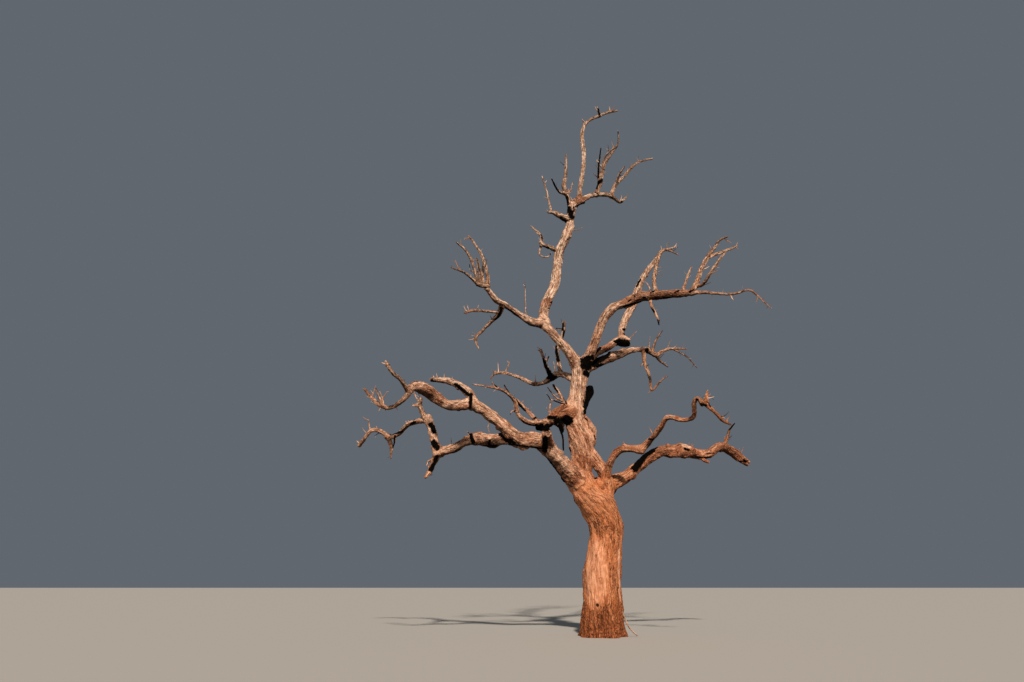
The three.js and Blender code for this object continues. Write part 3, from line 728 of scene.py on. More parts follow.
# Each scar: [across, down, size, rise, dark]. Size and rise are in mm, and a rise below 0 is sunk.
# The dark is partly decay and partly painted shade, in sunk hollows, at the fork and on black knots.
SCARS = [
    [560, 424, 210, -130, 1.0], [556, 420.5, 70, -60, 1.0], [566, 421, 150, -50, 0.9],
    [571, 412, 160, 16, 0.0], [563, 406, 120, 30, 0.0], [595.5, 478, 70, -30, 1.0],
    [685, 448.8, 110, 36, 0.0], [686, 449.3, 50, -50, 1.0], [693, 450, 90, 30, 0.0],
    [697, 399, 50, -30, 1.0], [703, 404.5, 70, 22, 0.8], [624.5, 443, 80, 30, 0.0],
    [655, 433, 70, 16, 0.0], [589, 436, 150, 30, 0.0], [583, 398, 70, 20, 0.0],
    [597.4, 605.2, 42, -30, 0.9], [595.5, 556, 40, -10, 0.4], [593.5, 569.5, 34, -8, 0.3],
    [586, 580, 90, 14, 0.0], [618, 589, 50, -14, 0.5], [581, 486, 90, 30, 0.0],
    [600, 512, 120, 22, 0.0], [612, 527, 110, 20, 0.0], [567, 449, 100, 26, 0.0],
    [574, 489, 80, -16, 0.3], [487, 438, 120, 40, 0.0], [488, 444, 110, -40, 0.8],
    [471, 433, 90, 36, 0.0], [391.5, 437, 75, 12, 0.4], [406.5, 424, 60, 16, 0.0],
    [557, 268, 60, 16, 0.0], [565, 240, 70, 18, 0.0], [545, 308, 80, 18, 0.0],
    [547, 433, 80, -16, 0.5], [550, 303, 120, 14, 0.0], [597, 337, 80, 16, 0.0],
    [612, 356, 80, 14, 0.0], [440, 401, 90, 24, 0.0], [505, 427, 90, 22, 0.0],
    [582, 362, 150, -20, 0.5], [624.5, 342, 130, 14, 0.6], [627, 333, 80, -20, 0.9],
    [625, 329.5, 55, -20, 0.9], [619, 340, 60, 12, 0.0], [609, 303, 90, 16, 0.0],
    [744.5, 461, 60, -40, 1.0], [738, 463, 60, -16, 0.8], [431.5, 380.5, 60, -24, 0.9],
    [575, 228, 90, 26, 0.0], [520, 436, 110, 20, 0.0], [457, 446, 80, 16, 0.0],
    [662, 452, 90, 20, 0.0],
]
# Painted shadows that boughs cast below forks and breaks, listed by the limb or place that they are at:
# [across, down, across, down, width] of each end and of the shadow, as they are seen on the frame. They
# lie on the side of the wood that faces the viewer.
PAINTED_SHADOWS = {
    "fork": [
        [600, 348, 590, 358, 3.6], [583, 360.5, 591, 357.5, 7.5], [584.5, 366, 588, 367, 10],
        [585.5, 372.5, 588.5, 375, 7], [594, 364, 607, 354, 8], [597, 365.5, 602, 365, 5],
        [608, 352.5, 617, 348.2, 2.4], [586.6, 360, 591, 363, 6],
    ],
    "trunk": [
        [585.4, 418.6, 587, 420, 2], [594.2, 435.6, 595.4, 439, 1.6], [570, 447.6, 571, 454.6, 1.6],
    ],
    "collar": [
        [557, 421.6, 569, 421.6, 9], [566, 416.5, 571, 419, 5], [560, 426, 562, 433, 8],
        [562, 432, 563.2, 450, 3.4],
    ],
    "dark_stub": [
        [590.2, 387.6, 589.4, 394, 10.5], [589, 394, 586, 406, 7.6], [586, 406, 584.6, 413, 4],
    ],
    "low_right_bough": [
        [634.8, 468.4, 643.6, 456.8, 8.4], [643.6, 456.8, 653, 450.4, 5.4],
        [684.4, 448.6, 688.6, 449.8, 2.8], [653, 450.4, 657.4, 447, 2],
    ],
    "low_right_arm": [
        [695.8, 457, 712, 457.8, 2], [706, 453.8, 714, 453, 1.4], [736.6, 461.4, 747.6, 461, 1.8],
    ],
    "low_right_arch": [[648.6, 439, 653, 439.6, 2.4]],
    "low_right_arch_twigs": [
        [696.6, 399.2, 698.2, 400.2, 2.6], [701, 404.2, 706, 405.6, 3.8], [709, 404, 711, 406.2, 2.4],
    ],
    "low_right_tip_twigs": [[729.2, 429.6, 734.8, 423.4, 1.8]],
    "low_left_bough": [
        [545.6, 438.6, 544.6, 450, 7.4], [544.5, 457, 555, 469, 4.2], [555, 469, 565, 485, 3.4],
        [565, 485, 574, 501, 2.6],
    ],
    "left_upper_bough": [
        [471, 394.5, 470.2, 407.5, 4.2], [456, 384.5, 468, 394.5, 4.4], [432, 380.6, 436, 381.4, 1.8],
    ],
    "left_lower_bough": [
        [500.5, 434, 513, 443.2, 6.8], [509, 444, 543, 448.6, 2], [484, 446.8, 496, 445.8, 3.8],
        [489.8, 440.5, 489, 445, 3], [471, 436, 473.2, 442, 4.8], [468.4, 432.6, 470, 434.6, 2],
        [447, 456.4, 470, 446.6, 2],
    ],
    "left_riser": [
        [431, 424.6, 434.4, 431, 6.4], [433.2, 442.6, 437, 447.4, 7.6], [437, 457, 431, 470, 5.6],
    ],
    "left_reach": [
        [395, 436, 393.6, 448, 2.6], [391, 434, 402, 431.6, 3], [411, 424.4, 415, 422, 3.4],
    ],
    "broken_collar_bough": [
        [536, 427.6, 551, 426.6, 9], [537, 430, 541, 431, 2.4], [528, 424.5, 535, 427.4, 2],
        [549, 417.4, 557, 417.8, 5], [534, 418.4, 537, 416.6, 2.6],
    ],
    "broken_bough_fork": [[516.5, 401, 524.4, 410.4, 3.2]],
    "broken_bough_twigs": [
        [492, 383.6, 497, 386.8, 2], [504.6, 385, 508.4, 391.4, 2], [510, 414.6, 515.4, 410.4, 1.8],
    ],
    "collar_twigs": [
        [546.4, 393.6, 550.4, 399.6, 2], [547, 387, 553.4, 396.4, 1.6],
        [553.6, 400.6, 564.6, 404.4, 1.6], [564, 397, 566.6, 404, 2],
    ],
    "mid_left_bough": [
        [548.5, 376.5, 555.5, 378, 6.4], [551.5, 381, 557, 392, 2.6], [557, 378.6, 570, 382.6, 1.8],
        [549, 373, 552, 379, 7],
    ],
    "knot_twigs": [[543.4, 360, 549, 373, 4.2], [549.2, 356, 547.4, 365, 2.6]],
    "rising_twigs": [
        [563, 324, 562.6, 330, 2.6], [564, 331, 563.6, 337.6, 2.8], [556.4, 327.8, 562, 329, 1.8],
        [555.4, 346, 558.4, 361, 3.8],
    ],
    "upper_left_bough": [[541, 329, 549, 337, 1.6], [549, 337, 556, 345, 1.6]],
    "upper_left_arm": [
        [504, 308.6, 512, 311.4, 1.8], [512, 311.4, 521, 319.4, 1.8], [522, 320.4, 530, 325.2, 2],
        [530, 325.2, 540, 327.4, 2],
    ],
    "left_hanging_twigs": [[501.4, 308, 499.4, 315, 4.2], [499.4, 315, 495.6, 319.6, 3.6]],
    "left_hand_twigs": [
        [456, 242.6, 463, 249.6, 2.2], [451.4, 266.4, 455.6, 266.4, 1.6],
        [469, 262.6, 471.4, 270.6, 2.2], [475, 284.4, 483.4, 288.6, 1.8],
        [485.4, 274.4, 485.8, 280, 1.4],
    ],
    "leader_bough": [
        [568.6, 208.5, 572, 216.8, 6.6], [573.6, 207, 574, 211, 2], [551, 302.6, 554.4, 301, 2.4],
        [549, 308.4, 551.6, 306.6, 1.8],
    ],
    "leader_side_twigs": [
        [537, 227, 541.6, 231.4, 2], [541.6, 231.4, 542, 239.6, 2.2], [540, 246.6, 548.4, 247.8, 2.4],
        [549.4, 249.4, 550.4, 256, 2.4],
    ],
    "crown_stub_twigs": [[561, 218, 566, 220.8, 3.8]],
    "crown_left_twigs": [
        [567, 196.6, 568, 204.6, 2.8], [552, 179.6, 556, 188, 2.4], [556, 188, 561, 195.4, 2.4],
    ],
    "top_right_bough": [[575.6, 206.6, 586, 201.4, 2], [586, 201.4, 598, 197.4, 1.8]],
    "crown_mid_twigs": [
        [596.6, 188, 598, 184, 3.4], [598.4, 183, 602, 180, 4.2], [600.8, 148, 598.8, 163, 2.2],
        [598.8, 163, 598.2, 178, 2.2], [618, 132, 617, 143, 1.8],
    ],
    "crown_right_twigs": [[621.4, 201.6, 624.4, 203.8, 2.2]],
    "leader_tip_twigs": [[598, 109, 599.4, 115.6, 2.4], [600, 117, 609, 116, 1.6]],
    "right_arch": [
        [624, 306.5, 636, 303, 2.8], [636, 303, 650, 299.6, 2.2], [655, 298.2, 690, 296.6, 1.8],
        [634.6, 296.4, 638, 293.4, 2.4], [628.6, 301.4, 631, 299.6, 1.8],
        [650.8, 292.6, 654, 291, 1.8], [675, 292.4, 678.6, 291, 1.8], [689.6, 291.8, 694, 289.6, 2.4],
        [643, 297.6, 645.6, 297, 1.6],
    ],
    "arch_hanging_twigs": [[651.5, 308.5, 654.3, 312, 2.4], [657.6, 320, 659.5, 325, 2]],
    "right_mid_twigs": [[646.5, 350, 648.5, 355, 4.6]],
    "right_back_bough": [
        [620.5, 343, 626.5, 344, 10.5], [615, 341.5, 619, 340, 3.6], [623, 329.5, 627.5, 330.5, 2.8],
        [625, 334, 630.5, 334, 3.4],
    ],
    "right_back_arm": [[640.5, 279.5, 636.5, 286, 2.4], [646.5, 284, 651.5, 290, 2.6]],
}
SHADOW_DEPTH = 0.45
SHADOW_RAGGED = 0.3
SHADOW_EDGE = 4
SHADOW_TURN = -0.3
RAGGED_SIZE = 0.06
RAGGED_NOISE = (0.8, 2.2, 3)
IN_FRONT = 0.02
KNOT_SEED = 101
KNOTS_A_METRE = 2.2
KNOT_SIZE = 0.45
KNOT_SIZE_MORE = 0.5
KNOT_RISE = 0.23
KNOT_RISE_LEAST = 0.6
KNOT_ROT = 0.3
DARK_SHOWS = 0.2
SCAR_EDGE = 3
SCAR_RAGGED = 0.6


def tube_mesh(name, skins):
    """A mesh of closed tubes, each from its rings and the middle of its last end."""
    points, faces = [], []
    for rings, tip in skins:
        start = len(points)
        count, sides = rings.shape[:2]
        points += [tuple(p) for p in rings.reshape(-1, 3)] + [tuple(rings[0].mean(0)), tuple(tip)]
        foot, head = start + count * sides, start + count * sides + 1
        for j in range(sides):
            nxt = (j + 1) % sides
            for k in range(count - 1):
                low, high = start + k * sides, start + (k + 1) * sides
                faces.append((low + j, low + nxt, high + nxt, high + j))
            faces.append((start + nxt, start + j, foot))
            faces.append((high + j, high + nxt, head))
    mesh = bpy.data.meshes.new(name)
    mesh.from_pydata(points, [], faces)
    return mesh


def evaluated(piece, modifiers):
    """The mesh that an object has after these modifiers, each a type with its settings."""
    for kind, settings in modifiers:
        modifier = piece.modifiers.new(kind.lower(), kind)
        for name, value in settings.items():
            setattr(modifier, name, value)
    shown = piece.evaluated_get(bpy.context.evaluated_depsgraph_get())
    result = bpy.data.meshes.new_from_object(shown)
    piece.modifiers.clear()
    return result


def read(mesh, name, width):
    """An attribute of a mesh's points as an array."""
    values = np.zeros(len(mesh.vertices) * width, np.float32)
    mesh.attributes[name].data.foreach_get("vector" if width == 3 else "value", values)
    return values.reshape(-1, width) if width == 3 else values


def write(mesh, name, values):
    """An array as an attribute of a mesh's points."""
    kind, field = ("FLOAT_VECTOR", "vector") if values.ndim == 2 else ("FLOAT", "value")
    attribute = mesh.attributes.new(name, kind, "POINT")
    attribute.data.foreach_set(field, values.astype(np.float32).ravel())


def normals_of(mesh):
    normals = np.zeros(len(mesh.vertices) * 3, np.float32)
    mesh.vertices.foreach_get("normal", normals)
    return normals.reshape(-1, 3).astype(float)


def drawer(seed):
    """A seeded draw between 0 and 1, as the part's source has it."""
    state = seed * 7919 + 17

    def draw():
        nonlocal state
        state = state * 48271 % 2147483647
        return state / 2147483647

    return draw


class Sightings:
    """Where the axes of a group of limbs are seen on the frame, and how deep they lie."""

    def __init__(self, group):
        walks = [limb.walk(RING_PITCH) for limb in group]
        self.centres = np.concatenate([walk[1] for walk in walks])
        self.radii = np.concatenate([walk[5] for walk in walks]) / MM
        self.spots, self.step = seen(self.centres)

    def nearest(self, across, down):
        """The place on the axis that is seen nearest to a spot, and before its neighbours there."""
        away = np.linalg.norm(self.spots - (across, down), axis=1) * self.step
        return self.centres[np.argmin(away - self.radii + IN_FRONT * self.centres[:, 1] / MM)]


def on_skin(across, down):
    """The place on the wood's skin that is seen at a spot, or the nearest one to it."""
    ray = Vector(place(across, down, 0)) - eye.location
    found = wood_skin.ray_cast(eye.location, ray)[0]
    if found is None:
        depth = sightings.nearest(across, down)[1] / MM
        found = wood_skin.find_nearest(Vector(place(across, down, depth)))[0]
    return np.array(found)


def ragged(places):
    """A rough value from about -1 to 1 at each place, for the uneven edges of painted shadows and dark
    scars.
    """
    return np.array([noise.fractal(Vector(p) / RAGGED_SIZE, *RAGGED_NOISE) for p in places])


def shadow_darkness(places, outward, axes):
    """How dark the painted shadows leave each place, on a skin that faces outward there."""
    dark = np.zeros(len(places))
    spots = seen(places)[0]
    sight = places - np.array(eye.location)
    facing = -np.sum(sight * outward, axis=1) / np.linalg.norm(sight, axis=1)
    for *ends, width in [shadow_mark for shadow_marks in PAINTED_SHADOWS.values() for shadow_mark in shadow_marks]:
        start, end = np.array(ends[:2]), np.array(ends[2:])
        low, high = np.minimum(start, end) - width, np.maximum(start, end) + width
        inside = np.all((spots > low) & (spots < high), axis=1)
        near = np.flatnonzero(inside & (facing > SHADOW_TURN))
        run = end - start
        share = np.clip((spots[near] - start) @ run / (run @ run), 0, 1)
        depth = axes.nearest(*start)[1] * (1 - share) + axes.nearest(*end)[1] * share
        off = np.linalg.norm(spots[near] - start - share[:, None] * run, axis=1)
        kept = (np.abs(places[near, 1] - depth) < SHADOW_DEPTH) & (off < width)
        near, off = near[kept], off[kept]
        level = 1 - 2 * off / width + SHADOW_RAGGED * ragged(places[near])
        dark[near] = np.maximum(dark[near], np.clip(SHADOW_EDGE * level, 0, 1))
    return dark


every_limb = [limb for group in limbs.values() for limb in group]
region_of = [region for region, group in limbs.items() for limb in group]
raw = bpy.data.objects.new("wood", tube_mesh("wood", [limb.tube() for limb in every_limb]))
scene.collection.objects.link(raw)
fused = evaluated(raw, [
    ("REMESH", {"mode": "VOXEL", "voxel_size": VOXEL}),
    ("SMOOTH", {"factor": SMOOTH_SHARE, "iterations": SMOOTH_TURNS}),
])
points = read(fused, "position", 3).astype(float)
normals = normals_of(fused)

# For every point of the skin: the limb that it lies on, and the next limb to it.
first = {
    "apart": np.full(len(points), FAR), "limb": np.zeros(len(points), int),
    "grain": np.zeros((len(points), 3)), "along": np.zeros((len(points), 3)),
    "radius": np.ones(len(points)),
}
second = {key: value.copy() for key, value in first.items()}
for order, limb in enumerate(every_limb):
    reach = limb.girths.max() / 2 + CROTCH_SEARCH
    low, high = limb.places.min(0) - reach, limb.places.max(0) + reach
    near = np.flatnonzero(np.all((points > low) & (points < high), axis=1))
    apart, grain, along, radius = limb.measure(points[near])
    limb_here = np.full(len(near), order)
    found = {"apart": apart, "limb": limb_here, "grain": grain, "along": along, "radius": radius}
    closer = apart < first["apart"][near]
    between = ~closer & (apart < second["apart"][near])
    for key, value in found.items():
        second[key][near[closer]] = first[key][near[closer]]
        first[key][near[closer]] = value[closer]
        second[key][near[between]] = value[between]

lesser = np.minimum(first["radius"], second["radius"])
step_apart = np.abs(second["apart"] - first["apart"])
crossing = np.linalg.norm(np.cross(first["along"], second["along"]), axis=1)
crotch = np.clip(1 - step_apart / (CROTCH_FILL * lesser), 0, 1) ** 2 * crossing
crotch = crotch * (second["apart"] < FAR)
points += normals * (CROTCH_FILL * lesser * CROTCH_RISE * crotch)[:, None]
seam = np.clip(SEAM_EDGE - step_apart / (SEAM_SHARE * lesser), 0, 1)

# The tree's own scars come first. Then knots stand on every bough at a draw of places.
rot_and_shade = np.zeros(len(points))
sightings = Sightings(every_limb)
wood_skin = BVHTree.FromPolygons(points.tolist(), [polygon.vertices for polygon in fused.polygons])
scars = [
    (on_skin(across, down), size * MM, rise * MM, rot_and_shade_level)
    for across, down, size, rise, rot_and_shade_level in SCARS
]
knot_draw = drawer(KNOT_SEED)
for limb in every_limb[len(limbs["trunk"]):]:
    run, centres, along, across, up, radii = limb.walk(RING_PITCH)
    for n in range(round(limb.length * KNOTS_A_METRE)):
        k = int(knot_draw() * (len(run) - 1))
        turn = 2 * math.pi * knot_draw()
        out = across[k] * math.cos(turn) + up[k] * math.sin(turn)
        size = radii[k] * (KNOT_SIZE + KNOT_SIZE_MORE * knot_draw())
        rise = radii[k] * KNOT_RISE * (KNOT_RISE_LEAST + knot_draw())
        scars.append((centres[k] + out * radii[k], size, rise, KNOT_ROT * knot_draw()))
# Each scar raises or sinks the wood and darkens it, with decay and with painted shade in its hollow.
for centre, size, rise, rot_and_shade_level in scars:
    away = np.linalg.norm(points - centre, axis=1) / size
    hit = np.flatnonzero(away < 1)
    weight = (1 - away[hit] ** 2) ** 2
    points[hit] += normals[hit] * (rise * weight)[:, None]
    if rot_and_shade_level > DARK_SHOWS:
        level = SCAR_EDGE * weight + SCAR_RAGGED * ragged(points[hit])
        rot_and_shade[hit] = np.maximum(rot_and_shade[hit], rot_and_shade_level * np.clip(level, 0, 1))
# Painted shadows darken the wood below forks and breaks.
rot_and_shade = np.maximum(rot_and_shade, shadow_darkness(points, normals, sightings))

# Weathered hardwood: bare heartwood that the sun has bleached, split by long drying checks, with
# patches of old bark that still hold. It is orange and barked at the foot and pale tan in the crown.
# Some of its scars are dark with decay, and painted shade darkens its hollows, crotches and undersides.

# A pattern in the grain: (mm across it, mm along it, octaves).
FIBRE = (10, 190, 3.0)
STREAK = (34, 480, 4.0)
CHECK = (80, 950, 3.0)
CHECK_WIDTH = 0.026
HAIR_CHECK = (26, 260, 3.0)
HAIR_WIDTH = 0.035
PATCH = (120, 420, 5.0)
BLOTCH = (46, 120, 5.0)
TWIG_BLOTCH = (30, 70, 5.0)
RIPPLE = (120, 700, 2.0)
NOISE_MIDDLE = 0.5
PLATE_ACROSS = 30
PLATE_ALONG = 70
BARK_SEAM = -0.2
BARK_SPREAD = -0.5
BARK_START = 0.75
# How a value runs from one range to another, as a Map Range node numbers them: from 1 and 2 to 3 and
# 4. The one end that the chalk and the rust leave out is the material's mottle.
BARK_EDGE = {1: -0.03, 2: 0.05, 3: 0.0, 4: 1.0}
FURROW_EDGE = {1: 0.0, 2: 0.3, 3: 1.0, 4: 0.0}
SMOOTH_TO_ROUGH = {1: -0.5, 2: 0.3, 3: 0.2, 4: 1.0}
BAND_EDGE = {1: 0.36, 2: 0.62, 3: 0.0, 4: 1.0}
THREAD_EDGE = {1: 0.45, 2: 0.70, 3: 0.0, 4: 0.45}
CHALK_EDGE = {1: 0.37, 2: 0.46, 4: 0.0}
RUST_EDGE = {1: 0.51, 2: 0.60, 3: 0.0}
OLD_FURROWS = {1: 0.0, 2: 0.9, 3: 0.05, 4: 0.5}
# How much of the rust a ruddy place loses, and of the chalk a barked one.
RUST_AT_FOOT = -0.7
CHALK_ON_BARK = -0.7
BAND_SHARE = 0.5
BARK_SHARE = 0.8
CHECK_SHARE = 0.7
FIBRE_RISE = 0.8
FURROW_RISE = -0.7
HAIR_RISE = -0.8
CHECK_RISE = -1.4
BUMP = {"Strength": 0.9, "Distance": 0.010}
DRY_WOOD = {"Roughness": 0.86, "Specular IOR Level": 0.03}
BOUGH_MOTTLE = 0.65
PLATE_HOLLOW = -0.6
# Patches of bare or of barked wood: [across, down, half width, half height, bark, ruddy]. The two
# halves are in mm, and the last two are added to how far bark covers the wood and how ruddy it is.
PATCHES = [
    [594, 571, 290, 700, -1.2, -0.22], [591, 545, 170, 300, -1.2, 0.0], [584, 474, 300, 420, 0.2, 0.1],
    [690, 445, 1800, 900, 0.25, 0.0], [613, 568, 150, 560, -0.12, 0.05],
    [619, 572, 70, 600, -1.2, -0.35], [577, 395, 240, 620, -0.15, -0.1], [556, 275, 260, 900, -0.3, 0.0],
    [571, 232, 200, 300, -0.15, 0.1], [560, 457, 330, 260, -0.35, -0.15], [564, 412, 360, 190, 0.4, 0.25],
    [655, 293, 900, 150, 0.9, 0.2], [585, 203, 520, 170, 0.6, 0.3], [686, 446, 150, 90, -0.6, -0.3],
    [588, 500, 420, 420, -0.3, 0.05], [596, 344, 240, 330, -0.2, 0.15], [608, 346, 260, 150, 0.3, 0.3],
    [549, 303, 240, 150, 0.4, 0.35], [608, 484, 330, 260, -0.1, 0.15], [438, 395, 420, 160, 0.2, 0.15],
    [612, 520, 260, 500, 0.05, 0.1],
]
PATCH_CORE = 4
PATCH_FADE = 3.6
BARK_LEVELS = ((0, 1.0, 2.4, 4.6, 14), (0.85, 0.46, 0.38, 0.40, 0.36))
RUDDY_LEVELS = ((2.0, 5.2, 8.0), (1.0, 0.35, 0.0))
REGION_RUDDY = {
    "trunk": 0.0, "low_right": 0.1, "low_left": -0.2, "middle": -0.1, "crown_left": 0.0,
    "crown_right": 0.1, "foot_root": -0.85,
}
UNDERSIDE_BARK = 0.25
UNDERSIDE_SHADE = 0.85
UNDERSIDE_TURN = -3.0
UNDERSIDE_START = 1.6
CROTCH_SHADE = 0.2
CROTCH_TURN = 0.6
FOOT_STAIN_AND_SHADE = 0.7
FOOT_STAIN_HEIGHT = 0.75
FOOT_STAIN_SIZE = 0.05
FOOT_STAIN_LEVEL = 0.2
CROWN_WOOD = {
    "pale": "#f3d5bb", "tan": "#d2a587", "bark": "#a3755a", "rust": "#7f4f39", "plate": "#523a2e",
}
FOOT_WOOD = {
    "pale": "#d89064", "tan": "#bd7146", "bark": "#a85c36", "rust": "#97512f", "plate": "#67371f",
}
TWIG_WOOD = {
    "pale": "#e6c3a8", "tan": "#c09373", "bark": "#855d46", "rust": "#5b3a2b", "plate": "#402c22",
}
CHECK_DARK = "#2c1b13"
ROT_AND_SHADE_DARK = "#070504"


def grain_noise(tree, grain, pattern):
    """Noise that runs with the grain, in features so many mm across it and along it."""
    across, along, octaves = pattern
    stretch = (1 / (across * MM), 1 / (across * MM), 1 / (along * MM))
    run = add(tree, "ShaderNodeVectorMath", {0: grain, 1: stretch}, operation="MULTIPLY")
    links = {"Vector": run, "Scale": 1.0, "Detail": octaves}
    return add(tree, "ShaderNodeTexNoise", links).outputs["Fac"]


def checks_along(tree, grain, pattern, width, seam):
    """1 along the splits, which wander with the grain, and 0 beside them and where two grains meet."""
    wander = grain_noise(tree, grain, pattern)
    off = add(tree, "ShaderNodeMath", {0: wander, 1: NOISE_MIDDLE}, operation="SUBTRACT")
    aside = add(tree, "ShaderNodeMath", {0: off}, operation="ABSOLUTE")
    aside = add(tree, "ShaderNodeMath", {0: seam, 1: width, 2: aside}, operation="MULTIPLY_ADD")
    edge = {0: aside, 1: 0.0, 2: width, 3: 1.0, 4: 0.0}
    return add(tree, "ShaderNodeMapRange", edge, interpolation_type="SMOOTHSTEP")


def bark_left(tree, grain, cover, seam):
    """1 where old bark still holds, in patches along the grain: the higher the cover, the more."""
    patches = grain_noise(tree, grain, PATCH)
    held = add(tree, "ShaderNodeMath", {0: seam, 1: BARK_SEAM, 2: cover}, operation="MULTIPLY_ADD")
    start = {0: held, 1: BARK_SPREAD, 2: BARK_START}
    start = add(tree, "ShaderNodeMath", start, operation="MULTIPLY_ADD")
    over = add(tree, "ShaderNodeMath", {0: patches, 1: start}, operation="SUBTRACT")
    return add(tree, "ShaderNodeMapRange", {0: over} | BARK_EDGE, interpolation_type="SMOOTHSTEP")


def furrows(tree, grain):
    """1 in the furrows between the bark's small plates and 0 on the plates."""
    stretch = (1 / (PLATE_ACROSS * MM), 1 / (PLATE_ACROSS * MM), 1 / (PLATE_ALONG * MM))
    run = add(tree, "ShaderNodeVectorMath", {0: grain, 1: stretch}, operation="MULTIPLY")
    links = {"Vector": run, "Scale": 1.0}
    cells = add(tree, "ShaderNodeTexVoronoi", links, feature="DISTANCE_TO_EDGE").outputs["Distance"]
    return add(tree, "ShaderNodeMapRange", {0: cells} | FURROW_EDGE, interpolation_type="SMOOTHSTEP")


def blend(tree, share, under, over):
    """One colour over another by a share."""
    return add(tree, "ShaderNodeMix", {0: share, 6: under, 7: over}, data_type="RGBA").outputs[2]


def weathered_hardwood(name, crown, foot, blotches, mottle):
    """Sun-bleached hardwood with old bark, in its colours in the crown and at the foot, and mottled."""
    material, tree = shader_tree(name)
    grain = add(tree, "ShaderNodeAttribute", attribute_name="grain").outputs["Vector"]
    ruddy, cover, rot_and_shade, seam = (
        add(tree, "ShaderNodeAttribute", attribute_name=value).outputs["Fac"]
        for value in ("ruddy", "cover", "rot_and_shade", "seam")
    )
    fibre = grain_noise(tree, grain, FIBRE)
    streak = grain_noise(tree, grain, STREAK)
    furrow = furrows(tree, grain)
    check = checks_along(tree, grain, CHECK, CHECK_WIDTH, seam)
    hair = checks_along(tree, grain, HAIR_CHECK, HAIR_WIDTH, seam)
    bark = bark_left(tree, grain, cover, seam)
    rough = add(tree, "ShaderNodeMapRange", {0: cover} | SMOOTH_TO_ROUGH)
    furrow, check, hair = (
        add(tree, "ShaderNodeMath", {0: mark, 1: rough}, operation="MULTIPLY")
        for mark in (furrow, check, hair)
    )
    shades = {key: blend(tree, ruddy, colour(crown[key]), colour(foot[key])) for key in crown}
    banded = add(tree, "ShaderNodeMapRange", {0: streak} | BAND_EDGE, interpolation_type="SMOOTHSTEP")
    threads = add(tree, "ShaderNodeMapRange", {0: fibre} | THREAD_EDGE)
    wood = blend(tree, banded, shades["pale"], shades["tan"])
    wood = blend(tree, threads, wood, shades["bark"])

    patchy = grain_noise(tree, grain, blotches)
    chalk = {0: patchy, 3: mottle} | CHALK_EDGE
    chalk = add(tree, "ShaderNodeMapRange", chalk, interpolation_type="SMOOTHSTEP")
    rust = {0: patchy, 4: mottle} | RUST_EDGE
    rust = add(tree, "ShaderNodeMapRange", rust, interpolation_type="SMOOTHSTEP")
    fewer = add(tree, "ShaderNodeMath", {0: ruddy, 1: RUST_AT_FOOT, 2: 1.0}, operation="MULTIPLY_ADD")
    rust = add(tree, "ShaderNodeMath", {0: rust, 1: fewer}, operation="MULTIPLY")
    bare = add(tree, "ShaderNodeMath", {0: bark, 1: CHALK_ON_BARK, 2: 1.0}, operation="MULTIPLY_ADD")
    chalk = add(tree, "ShaderNodeMath", {0: chalk, 1: bare}, operation="MULTIPLY")

    skin = blend(tree, furrow, shades["bark"], shades["plate"])
    worn_bands = add(tree, "ShaderNodeMath", {0: banded, 1: BAND_SHARE}, operation="MULTIPLY")
    skin = blend(tree, worn_bands, skin, shades["tan"])
    held = add(tree, "ShaderNodeMath", {0: bark, 1: BARK_SHARE}, operation="MULTIPLY")
    old = add(tree, "ShaderNodeMapRange", {0: cover} | OLD_FURROWS)
    worn = add(tree, "ShaderNodeMath", {0: furrow, 1: old}, operation="MULTIPLY")
    thin = add(tree, "ShaderNodeMath", {0: hair, 1: old}, operation="MULTIPLY")
    split = add(tree, "ShaderNodeMath", {0: check, 1: CHECK_SHARE}, operation="MULTIPLY")
    # The last layer, nearly black, is decay together with painted shade.
    layers = (
        (held, skin), (worn, shades["plate"]), (chalk, shades["pale"]), (rust, shades["rust"]),
        (thin, colour(CHECK_DARK)), (split, colour(CHECK_DARK)), (rot_and_shade, colour(ROT_AND_SHADE_DARK)),
    )
    for share, over in layers:
        wood = blend(tree, share, wood, over)

    ribs = streak
    rises = ((fibre, FIBRE_RISE), (furrow, FURROW_RISE), (hair, HAIR_RISE), (check, CHECK_RISE))
    for mark, rise in rises:
        ribs = add(tree, "ShaderNodeMath", {0: mark, 1: rise, 2: ribs}, operation="MULTIPLY_ADD")
    bump = add(tree, "ShaderNodeBump", BUMP | {"Height": ribs})
    surface = add(tree, "ShaderNodeBsdfPrincipled", DRY_WOOD | {"Base Color": wood, "Normal": bump})
    add(tree, "ShaderNodeOutputMaterial", {"Surface": surface})
    return material


def node_group(name, inputs):
    """A new geometry node group with a mesh in and out and these inputs, and their identifiers."""
    group = bpy.data.node_groups.new(name, "GeometryNodeTree")
    group.interface.new_socket(name="Geometry", in_out="INPUT", socket_type="NodeSocketGeometry")
    group.interface.new_socket(name="Geometry", in_out="OUTPUT", socket_type="NodeSocketGeometry")
    known = {}
    for label, kind in inputs.items():
        socket = group.interface.new_socket(name=label, in_out="INPUT", socket_type=f"NodeSocket{kind}")
        known[label] = socket.identifier
    return group, known


def named(tree, name, kind):
    """A named attribute of the geometry."""
    return add(tree, "GeometryNodeInputNamedAttribute", {"Name": name}, data_type=kind)


